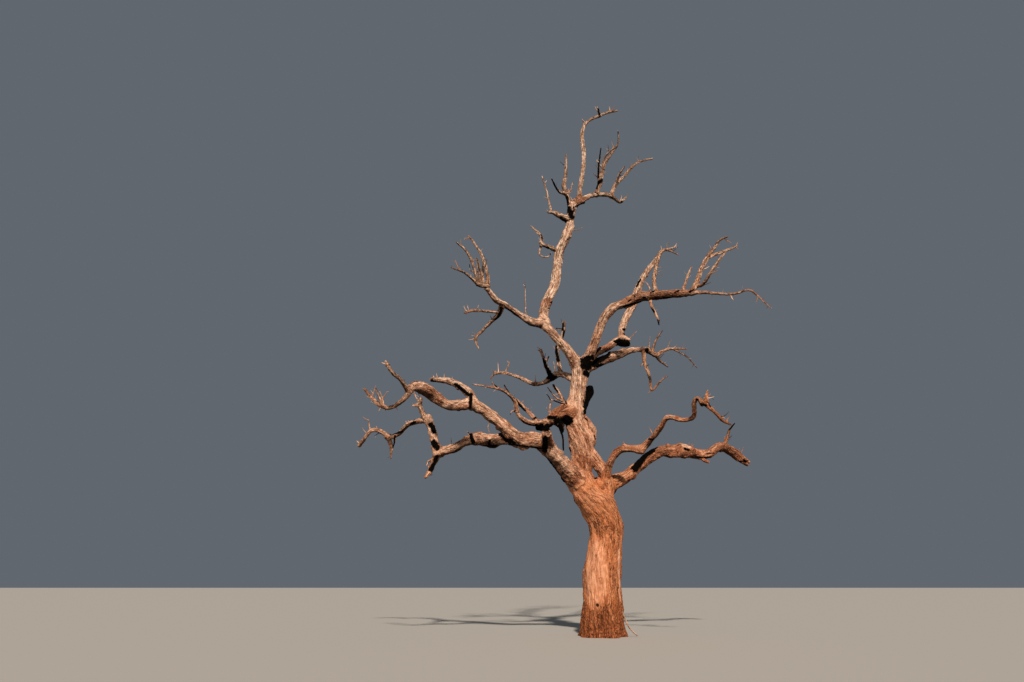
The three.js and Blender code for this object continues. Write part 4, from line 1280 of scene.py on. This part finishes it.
# The relief of bark and checks, by Geometry Nodes: it moves each point of the fused wood along its
# normal. The material draws its colours from the same patterns, so splits are dark where they are deep.
relief_settings = {"Check depth": 0.012, "Bark lift": 0.009, "Ripple": 0.045}
relief_kinds = dict.fromkeys(relief_settings, "Float") | {"Wood": "Material"}
relief, relief_inputs = node_group("bark_relief", relief_kinds)
given = add(relief, "NodeGroupInput")
grain_in = named(relief, "grain", "FLOAT_VECTOR")
seam_in = named(relief, "seam", "FLOAT")
bark_in = bark_left(relief, grain_in, named(relief, "cover", "FLOAT"), seam_in)
check_in = checks_along(relief, grain_in, CHECK, CHECK_WIDTH, seam_in)
plates = {0: furrows(relief, grain_in), 1: PLATE_HOLLOW, 2: 1.0}
plates = add(relief, "ShaderNodeMath", plates, operation="MULTIPLY_ADD")
lift = add(relief, "ShaderNodeMath", {0: bark_in, 1: plates}, operation="MULTIPLY")
lift = add(relief, "ShaderNodeMath", {0: lift, 1: given.outputs["Bark lift"]}, operation="MULTIPLY")
sink = add(relief, "ShaderNodeMath", {0: check_in, 1: given.outputs["Check depth"]}, operation="MULTIPLY")
waves = {0: grain_noise(relief, grain_in, RIPPLE), 1: NOISE_MIDDLE}
waves = add(relief, "ShaderNodeMath", waves, operation="SUBTRACT")
waves = {0: waves, 1: given.outputs["Ripple"], 2: lift}
height = add(relief, "ShaderNodeMath", waves, operation="MULTIPLY_ADD")
height = add(relief, "ShaderNodeMath", {0: height, 1: sink}, operation="SUBTRACT")
plain = add(relief, "ShaderNodeMath", {0: 1.0, 1: seam_in}, operation="SUBTRACT")
height = add(relief, "ShaderNodeMath", {0: height, 1: plain}, operation="MULTIPLY")
outward = add(relief, "GeometryNodeInputNormal").outputs["Normal"]
moved = add(relief, "ShaderNodeVectorMath", {0: outward, "Scale": height}, operation="SCALE")
shaped = {"Geometry": given.outputs["Geometry"], "Offset": moved}
shaped = add(relief, "GeometryNodeSetPosition", shaped)
whole = add(relief, "GeometryNodeRealizeInstances", {"Geometry": shaped})
dressed = {"Geometry": whole, "Material": given.outputs["Wood"]}
dressed = add(relief, "GeometryNodeSetMaterial", dressed)
add(relief, "NodeGroupOutput", {0: dressed})

bare_hardwood = weathered_hardwood("weathered_hardwood", CROWN_WOOD, FOOT_WOOD, BLOTCH, BOUGH_MOTTLE)
limb_region = np.array([list(limbs).index(region) for region in region_of])[first["limb"]]


def ruddy_at(places, region):
    return np.interp(places[:, 2], *RUDDY_LEVELS) + REGION_RUDDY[region]


def underside_shade(outward):
    """How dark painted shade makes the skin where it faces down."""
    return UNDERSIDE_SHADE * np.clip(UNDERSIDE_TURN * outward[:, 2] - UNDERSIDE_START, 0, 1)


ruddy = np.choose(limb_region, [ruddy_at(points, region) for region in limbs])
cover = np.interp(points[:, 2], *BARK_LEVELS) + UNDERSIDE_BARK * np.clip(-normals[:, 2], 0, 1)
for across, down, half_width, half_height, more_bark, more_ruddy in PATCHES:
    off = (points - on_skin(across, down)) / (np.array((half_width, half_width, half_height)) * MM)
    share = np.clip(PATCH_CORE - PATCH_FADE * np.linalg.norm(off, axis=1), 0, 1)
    cover += more_bark * share
    ruddy += more_ruddy * share
# Soil darkens the foot in flecks, made darker still as painted shade of the low plants round it.
low = np.flatnonzero(points[:, 2] < FOOT_STAIN_HEIGHT)
flecks = np.array([noise.noise(Vector(p) / FOOT_STAIN_SIZE) for p in points[low]]) + FOOT_STAIN_LEVEL
foot_stain_and_shade = np.zeros(len(points))
foot_stain_and_shade[low] = FOOT_STAIN_AND_SHADE * np.clip(1 - points[low, 2] / FOOT_STAIN_HEIGHT, 0, 1) * flecks
# Painted shade darkens the crotches that face down.
crotch_shade = CROTCH_SHADE * crotch * np.clip(CROTCH_TURN - normals[:, 2], 0, 1)
# Painted shade darkens the undersides, and all the dark is kept in one value.
rot_and_shade = np.maximum.reduce([rot_and_shade, foot_stain_and_shade, underside_shade(normals), crotch_shade])

skin_mesh = fused.copy()
skin_mesh.vertices.foreach_set("co", points.astype(np.float32).ravel())
skin_mesh.update()
skin_values = {
    "grain": first["grain"], "cover": cover, "ruddy": np.clip(ruddy, 0, 1),
    "rot_and_shade": np.clip(rot_and_shade, 0, 1), "seam": seam,
}
for name, values in skin_values.items():
    write(skin_mesh, name, values)
raw.data = skin_mesh
modifier = raw.modifiers.new("bark_relief", "NODES")
modifier.node_group = relief
for label, value in (relief_settings | {"Wood": bare_hardwood}).items():
    modifier[relief_inputs[label]] = value
carved = evaluated(raw, [])
bpy.data.objects.remove(raw)

# The carved wood is parted into the trunk, its foot and five groups of boughs. Each part is closed
# inside the joint where it meets the next, and the foot is sawn level with the ground.
FOOT_HEIGHT = 2.3
carved_points = read(carved, "position", 3)
corners = np.zeros(len(carved.loops), np.int32)
carved.loops.foreach_get("vertex_index", corners)
corners = corners.reshape(-1, 4)
parts = limbs | {"trunk_foot": limbs["trunk"]}
face_region = limb_region[corners[:, 0]]
on_foot = (face_region == list(parts).index("trunk")) & (carved_points[corners[:, 0], 2] < FOOT_HEIGHT)
face_region[on_foot] = list(parts).index("trunk_foot")
carved_values = {name: read(carved, name, 3 if name == "grain" else 1) for name in skin_values}


def part_of_wood(name, chosen, sawn):
    """A closed piece of the carved wood, from its chosen faces."""
    used, inner = np.unique(corners[chosen], return_inverse=True)
    mesh = bpy.data.meshes.new(name)
    mesh.vertices.add(len(used))
    mesh.vertices.foreach_set("co", carved_points[used].ravel())
    mesh.loops.add(inner.size)
    mesh.loops.foreach_set("vertex_index", inner.ravel().astype(np.int32))
    mesh.polygons.add(len(chosen))
    mesh.polygons.foreach_set("loop_start", np.arange(0, inner.size, 4, dtype=np.int32))
    mesh.update(calc_edges=True)
    for key, values in carved_values.items():
        write(mesh, key, values[used])
    work = bmesh.new()
    work.from_mesh(mesh)
    if sawn:
        everything = work.verts[:] + work.edges[:] + work.faces[:]
        ground = {"plane_co": (0, 0, 0), "plane_no": (0, 0, 1), "clear_inner": True}
        bmesh.ops.bisect_plane(work, geom=everything, **ground)
    rim = [edge for edge in work.edges if edge.is_boundary]
    for face in work.faces:
        face.smooth = True
    caps = bmesh.ops.holes_fill(work, edges=rim, sides=0)["faces"]
    for face in caps:
        face.smooth = False
    for edge in rim:
        edge.smooth = False
    bmesh.ops.triangulate(work, faces=caps)
    work.to_mesh(mesh)
    work.free()
    mesh.materials.append(bare_hardwood)
    piece = bpy.data.objects.new(name, mesh)
    scene.collection.objects.link(piece)
    return piece


for order, (part, group) in enumerate(parts.items()):
    piece = part_of_wood(f"{part}_bark", np.flatnonzero(face_region == order), part == "trunk_foot")
    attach(piece, "root")
    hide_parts(*[limb.name for limb in group if limb.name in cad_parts])

# Bare twigs, as grey and dry as driftwood. Each mass is a stem that grows on from its bough, with its
# forks, and short broken spurs that leave both by the source's seeded rule. Finer twigs leave them all
# by the same rule. A spur that the source left out for want of room has none of it here either.
SPUR_RULE = {"pitch": 560, "shortest": 80, "longest": 240, "foot": 30, "tip": 9}
FINE_RULE = {"pitch": 170, "shortest": 30, "longest": 130, "foot": 9, "tip": 4}
SPUR_FIRST = 0.2
SPUR_REACH = 0.75
SPUR_FOOT_SHARE = 0.7
SPUR_LEAN = math.radians(58)
SPUR_BEND = 0.35
SPUR_MISS = 0.012
FINE_SEED = 500
TWIG_PITCH = 0.022
TWIG_STEPS = 4
CROOK_SIZE = 0.14
CROOK = 0.16
# The vector noise that crooks a twig takes its offsets from this seed, so it is the same each run.
CROOK_SEED = 7
CROOK_LEAST = 0.003
CROOK_EASE = 0.01
TWIG_SWELL = 0.5
TWIG_TIP = 0.6
KNOB_DETAIL = 3.0
STEM_SKIN = {"Sides": 18, "Knob height": 0.9, "Knob size": 0.07, "Bark cover": 0.45}
SPRAY_SKIN = {"Sides": 6, "Knob height": 0.8, "Knob size": 0.03, "Bark cover": 0.0}
TWIG_MOTTLE = 0.8
TWIG_ROUGHNESS = 0.88
SPRAY_COLOURS = {
    "sun_bleached_twig": "#d6ae90", "dry_brown_twig": "#9a6e50", "rusty_twig": "#a8744f",
    "dark_twig": "#35251d",
}
# Broken stubs and snags that stand on the limbs: [girth, tip girth, [across, down], ...], foot first.
# They lie as deep as the limb that they grow from.
STUBS = {
    "low_right": [
        [46, 22, [624.2, 446], [623.8, 441.5]], [24, 8, [651.8, 434.5], [650.6, 430], [649.3, 426.5]],
        [34, 16, [654, 434], [654.8, 428.5]], [92, 60, [701, 401], [703, 406.3]],
        [24, 10, [708.8, 396.5], [710.8, 393.8]], [32, 14, [722.8, 420], [722.6, 415.3]],
        [30, 12, [726.6, 421], [729.3, 415.8]], [40, 14, [725.2, 445], [724.8, 436]],
        [24, 10, [740.5, 453.5], [739.6, 448]], [26, 10, [742, 454.5], [743.4, 447.2]],
        [86, 66, [698, 456.5], [704, 460.2], [709.4, 462]], [30, 12, [688, 446], [689.3, 442.8]],
        [26, 10, [691, 447], [692.4, 443.4]], [34, 14, [689, 445.5], [694.4, 444.3]],
    ],
    "low_left": [
        [62, 34, [386.3, 366], [385.4, 360.5]], [30, 10, [368, 393], [365, 389.6], [362.6, 388.4]],
        [24, 9, [370.2, 400], [366.4, 396.5]], [30, 14, [384.8, 405], [382.6, 398.5], [379.6, 391]],
        [24, 10, [380, 408.4], [378.4, 411.4]], [52, 36, [418.2, 402.6], [415.5, 404.6], [412.6, 405.6]],
        [30, 10, [437.4, 380], [436.2, 373]], [28, 10, [444.6, 377.5], [444.3, 373.6]],
        [26, 10, [452.4, 380.5], [452.2, 376.4]], [46, 22, [434.6, 379], [433.4, 375.8]],
        [60, 30, [469.4, 435], [467.4, 431.4]], [28, 8, [451, 445], [450.8, 437.6]],
        [26, 12, [442, 453], [442, 457.4]], [26, 12, [490.8, 420], [488, 425.6], [489.2, 432.5]],
        [24, 8, [366.2, 432.5], [363.6, 430], [362.2, 427.2]], [26, 10, [378.2, 430], [375.9, 425.5]],
        [30, 12, [406.4, 424.5], [405.8, 420.6]], [24, 10, [408.6, 423.5], [408.2, 420.2]],
        [58, 14, [396, 436.5], [394, 444], [391.6, 451.5]], [60, 44, [425.6, 474], [424.3, 477]],
        [120, 100, [546, 440], [545.6, 434.5], [545.2, 430.8]],
    ],
    "middle": [
        [36, 10, [516.2, 411], [511.8, 411.2], [510, 415]], [30, 10, [515.8, 407.8], [513, 405.4]],
        [52, 10, [499, 387.6], [491.4, 383]], [52, 10, [509, 392.6], [504.2, 384.4]],
        [48, 16, [549.4, 418], [549.8, 408], [550.2, 399.5], [546.2, 393.4]],
        [22, 8, [549.6, 409.6], [546.2, 407]], [170, 110, [551, 424], [543, 427.5], [535.5, 427.2]],
        [190, 60, [561, 421], [561.4, 427], [562, 433]],
        [56, 34, [562, 426], [562.6, 437], [563.3, 450.5]], [34, 12, [535.3, 384], [535.3, 375.3]],
        [36, 8, [556, 377], [554.6, 367], [553.2, 361.2]], [42, 10, [551.4, 377], [550.3, 367.2]],
    ],
    "crown_left": [
        [36, 8, [574, 232], [578, 229.6], [582.6, 227.3]], [26, 8, [539, 236], [534.8, 231.8]],
        [34, 14, [474, 272], [471, 271], [469.4, 264]], [30, 9, [478, 281], [477.4, 270], [476.6, 257.4]],
        [26, 12, [471.8, 260.6], [477, 259.4]], [24, 8, [475.6, 336.6], [470.6, 335.2]],
        [26, 10, [468.4, 309.6], [467.2, 304.6]], [34, 14, [573, 202], [570.4, 196.6]],
        [30, 10, [600.6, 183.5], [604.8, 183]], [62, 22, [599, 116], [598.6, 110], [597.4, 106.6]],
        [42, 14, [610.4, 112.6], [609.5, 106.4]], [26, 10, [598.8, 163], [596.3, 160.3]],
    ],
    "crown_right": [
        [22, 7, [735.4, 247], [738.3, 241.3]], [22, 9, [736, 247.5], [738.5, 249.5]],
        [28, 8, [702.6, 286], [707, 284], [711.2, 282.3]], [84, 62, [692.6, 291], [699.6, 284]],
        [22, 8, [655.6, 267.6], [662.2, 267.2]], [22, 8, [656.4, 273], [663, 270.6]],
        [22, 8, [656.2, 274], [663.4, 275.2]], [26, 9, [662, 251], [660.8, 245.6]],
        [18, 6, [667, 248], [667.4, 243.4], [671.2, 244.8]], [18, 6, [671.6, 249], [676.2, 246.6]],
        [42, 16, [651.6, 290.5], [648, 285], [645.4, 281.6]], [36, 14, [630, 333.4], [636.8, 331.3]],
        [28, 9, [650.4, 346], [650, 336.3]], [24, 8, [667, 347.5], [669, 343.5], [671.6, 339.6]],
        [34, 14, [643.6, 362], [640.3, 366.6]],
    ],
}


def spurs_of(limb, draw, rule):
    """Side twigs that leave a limb at a draw of places, lean towards its tip and bend upwards."""
    spurs = []
    count = math.floor(limb.length / (rule["pitch"] * MM) + 0.5)
    for n in range(count):
        at = SPUR_FIRST + SPUR_REACH * (n + draw()) / count
        turn = 2 * math.pi * draw()
        length = (rule["shortest"] + (rule["longest"] - rule["shortest"]) * draw()) * MM
        root, ahead = limb.points(np.array((at, at + 1e-4)))
        along = (ahead - root) / np.linalg.norm(ahead - root)
        out = np.array(Matrix.Rotation(turn, 3, Vector(along)) @ Vector(square_to(along)))
        aim = along * math.cos(SPUR_LEAN) + out * math.sin(SPUR_LEAN)
        tip = root + aim * length
        tip[2] += length * SPUR_BEND * draw()
        foot = min(rule["foot"] * MM, 2 * float(limb.radii(np.array(at))) * SPUR_FOOT_SHARE)
        girths = (foot, (foot + rule["tip"] * MM) / 2, rule["tip"] * MM)
        spurs.append(Limb("spur", (root, root + aim * length / 2, tip), girths))
    return spurs


# The skin of a twig, by Geometry Nodes: a round profile swept along its curve, with its knobs.
twig_kinds = dict.fromkeys(STEM_SKIN, "Float") | {"Sides": "Int", "Wood": "Material"}
twig_skin, twig_inputs = node_group("twig_skin", twig_kinds)
wanted = add(twig_skin, "NodeGroupInput")


def store(geometry, name, value, kind):
    """Keeps a value with each point of the twig under a name."""
    links = {"Geometry": geometry, "Name": name, "Value": value}
    return add(twig_skin, "GeometryNodeStoreNamedAttribute", links, data_type=kind, domain="POINT")


thick = add(twig_skin, "GeometryNodeInputRadius")
length = add(twig_skin, "GeometryNodeSplineParameter").outputs["Length"]
stem = store(wanted.outputs["Geometry"], "thick", thick, "FLOAT")
stem = store(stem, "run", length, "FLOAT")
profile = {"Resolution": wanted.outputs["Sides"], "Radius": 1.0}
profile = add(twig_skin, "GeometryNodeCurvePrimitiveCircle", profile).outputs["Curve"]
profile = store(profile, "round", add(twig_skin, "GeometryNodeInputPosition"), "FLOAT_VECTOR")
sweep = {"Curve": stem, "Profile Curve": profile, "Scale": thick, "Fill Caps": True}
swept = add(twig_skin, "GeometryNodeCurveToMesh", sweep)
kept_thick = named(twig_skin, "thick", "FLOAT")
kept_round = named(twig_skin, "round", "FLOAT_VECTOR")
aside = add(twig_skin, "ShaderNodeVectorMath", {0: kept_round, "Scale": kept_thick}, operation="SCALE")
onward = add(twig_skin, "ShaderNodeCombineXYZ", {"Z": named(twig_skin, "run", "FLOAT")})
in_grain = add(twig_skin, "ShaderNodeVectorMath", {0: aside, 1: onward}, operation="ADD")
swept = store(swept, "grain", in_grain, "FLOAT_VECTOR")
swept = store(swept, "cover", wanted.outputs["Bark cover"], "FLOAT")
per_metre = add(twig_skin, "ShaderNodeMath", {0: 1.0, 1: wanted.outputs["Knob size"]}, operation="DIVIDE")
spot = add(twig_skin, "GeometryNodeInputPosition")
knobs = {"Vector": spot, "Scale": per_metre, "Detail": KNOB_DETAIL}
knobs = add(twig_skin, "ShaderNodeTexNoise", knobs).outputs["Fac"]
knobs = add(twig_skin, "ShaderNodeMath", {0: knobs, 1: NOISE_MIDDLE}, operation="SUBTRACT")
knobs = add(twig_skin, "ShaderNodeMath", {0: knobs, 1: kept_thick}, operation="MULTIPLY")
knobs = {0: knobs, 1: wanted.outputs["Knob height"]}
knobs = add(twig_skin, "ShaderNodeMath", knobs, operation="MULTIPLY")
outward = add(twig_skin, "GeometryNodeInputNormal").outputs["Normal"]
push = add(twig_skin, "ShaderNodeVectorMath", {0: outward, "Scale": knobs}, operation="SCALE")
rough = add(twig_skin, "GeometryNodeSetPosition", {"Geometry": swept, "Offset": push})
smooth = add(twig_skin, "GeometryNodeSetShadeSmooth", {"Geometry": rough})
real = add(twig_skin, "GeometryNodeRealizeInstances", {"Geometry": smooth})
finish = {"Geometry": real, "Material": wanted.outputs["Wood"]}
finish = add(twig_skin, "GeometryNodeSetMaterial", finish)
add(twig_skin, "NodeGroupOutput", {0: finish})


def skinned(name, twigs, settings):
    """The mesh of a group of twigs, each swept along its crooked axis."""
    noise.seed_set(CROOK_SEED)
    curve = bpy.data.curves.new(name, "CURVE")
    curve.dimensions = "3D"
    for twig in twigs:
        run, centres, along, across, up, radii = twig.walk(min(TWIG_PITCH, twig.length / TWIG_STEPS))
        ease = np.clip(run / (2 * radii[0] + CROOK_EASE), 0, 1)
        crook = np.array([noise.noise_vector(Vector(c) / CROOK_SIZE) for c in centres])
        centres = centres + crook * (ease * (CROOK_LEAST + CROOK * radii))[:, None]
        radii = radii * (1 + TWIG_SWELL * np.exp(-run / (2 * radii[0])))
        radii[-1] *= TWIG_TIP
        spline = curve.splines.new("POLY")
        spline.points.add(len(run) - 1)
        spline.points.foreach_set("co", np.column_stack((centres, np.ones(len(run)))).ravel())
        spline.points.foreach_set("radius", radii)
    holder = bpy.data.objects.new(name, curve)
    scene.collection.objects.link(holder)
    modifier = holder.modifiers.new("twig_skin", "NODES")
    modifier.node_group = twig_skin
    for label, value in settings.items():
        modifier[twig_inputs[label]] = value
    mesh = evaluated(holder, [])
    bpy.data.objects.remove(holder)
    return mesh


def tint_and_shade(mesh, region, axes):
    """Stores how ruddy the stems are, and how dark painted shade makes them below and in the painted
    shadows.
    """
    places = read(mesh, "position", 3).astype(float)
    outward = normals_of(mesh)
    dark = np.maximum(underside_shade(outward), shadow_darkness(places, outward, axes))
    write(mesh, "rot_and_shade", np.clip(dark, 0, 1))
    write(mesh, "ruddy", np.clip(ruddy_at(places, region), 0, 1))


def joined(name, meshes):
    """One object of several meshes, which keep their materials."""
    work = bmesh.new()
    whole = bpy.data.meshes.new(name)
    for order, mesh in enumerate(meshes):
        before = len(work.faces)
        work.from_mesh(mesh)
        work.faces.ensure_lookup_table()
        for face in work.faces[before:]:
            face.material_index = order
        whole.materials.append(mesh.materials[0])
    work.to_mesh(whole)
    work.free()
    piece = bpy.data.objects.new(name, whole)
    scene.collection.objects.link(piece)
    return piece


def plain_twig(name, hex_text):
    """Thin dry wood of one colour: a spray keeps its colour from its foot to its tips."""
    material, tree = shader_tree(name)
    look = {"Base Color": colour(hex_text), "Roughness": TWIG_ROUGHNESS}
    surface = add(tree, "ShaderNodeBsdfPrincipled", look)
    add(tree, "ShaderNodeOutputMaterial", {"Surface": surface})
    return material


def stub_limb(axes, girth, tip_girth, spots):
    """A stub from the axis of the limb that is seen behind its foot, through the other spots."""
    foot = axes.nearest(*spots[0])
    places = [foot] + [place(*spot, foot[1] / MM) for spot in spots[1:]]
    return Limb("stub", places, np.linspace(girth, tip_girth, len(places)) * MM)


twig_hardwood = weathered_hardwood("weathered_twig_wood", TWIG_WOOD, FOOT_WOOD, TWIG_BLOTCH, TWIG_MOTTLE)
spray_materials = [plain_twig(name, hex_text) for name, hex_text in SPRAY_COLOURS.items()]
REGION_TWIGS = {
    "low_right": LOW_RIGHT_TWIGS, "low_left": LOW_LEFT_TWIGS, "middle": MIDDLE_TWIGS,
    "crown_left": CROWN_LEFT_TWIGS, "crown_right": CROWN_RIGHT_TWIGS,
}
seed = 0
for region, masses in REGION_TWIGS.items():
    stout, sprays = [], [[] for material in spray_materials]
    for name, routes in masses.items():
        seed += 1
        draw = drawer(seed)
        fine_draw = drawer(seed + FINE_SEED)
        stems = [limb_from(name, route) for route in routes]
        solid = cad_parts[name].data
        faces = [polygon.vertices for polygon in solid.polygons]
        skin_of = BVHTree.FromPolygons([vertex.co for vertex in solid.vertices], faces)
        low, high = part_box(name)
        grown = [spur for limb in stems for spur in spurs_of(limb, draw, SPUR_RULE)]
        grown = [spur for spur in grown if skin_of.find_nearest(Vector(spur.places[-1]))[3] < SPUR_MISS]
        stout += stems
        for limb in stems + grown:
            fine = spurs_of(limb, fine_draw, FINE_RULE)
            tips = [twig.places[-1] for twig in fine]
            fine = [twig for twig, tip in zip(fine, tips) if np.all(tip > low) and np.all(tip < high)]
            for twig in ([limb] if limb in grown else []) + fine:
                sprays[int(fine_draw() * len(sprays))].append(twig)
    axes = Sightings(limbs[region] + stout)
    stout += [stub_limb(axes, girth, tip, spots) for girth, tip, *spots in STUBS[region]]
    wood = skinned(region, stout, STEM_SKIN | {"Wood": twig_hardwood})
    tint_and_shade(wood, region, axes)
    stem_piece = joined(f"{region}_stems", [wood])
    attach(stem_piece, "root")
    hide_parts(*masses)
    thin = [
        skinned(region, twigs, SPRAY_SKIN | {"Wood": material})
        for twigs, material in zip(sprays, spray_materials) if twigs
    ]
    spray_piece = joined(f"{region}_sprays", thin)
    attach(spray_piece, "root")

# A thin bare root that leaves the foot on the right and runs down to the ground.
FOOT_ROOT = [
    [614, 600, 0, 60], [620, 605, -60, 40], [623.8, 616, -90, 36], [629, 627, -110, 30],
    [637.5, 636.1, -130, 22],
]
ROOT_SKIN = STEM_SKIN | {"Bark cover": 0.1, "Wood": twig_hardwood}

foot_axes = Sightings(limbs["trunk"])
root_wood = skinned("foot_root", [limb_from("foot_root", FOOT_ROOT)], ROOT_SKIN)
tint_and_shade(root_wood, "foot_root", foot_axes)
foot_root = joined("foot_root", [root_wood])
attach(foot_root, "root")
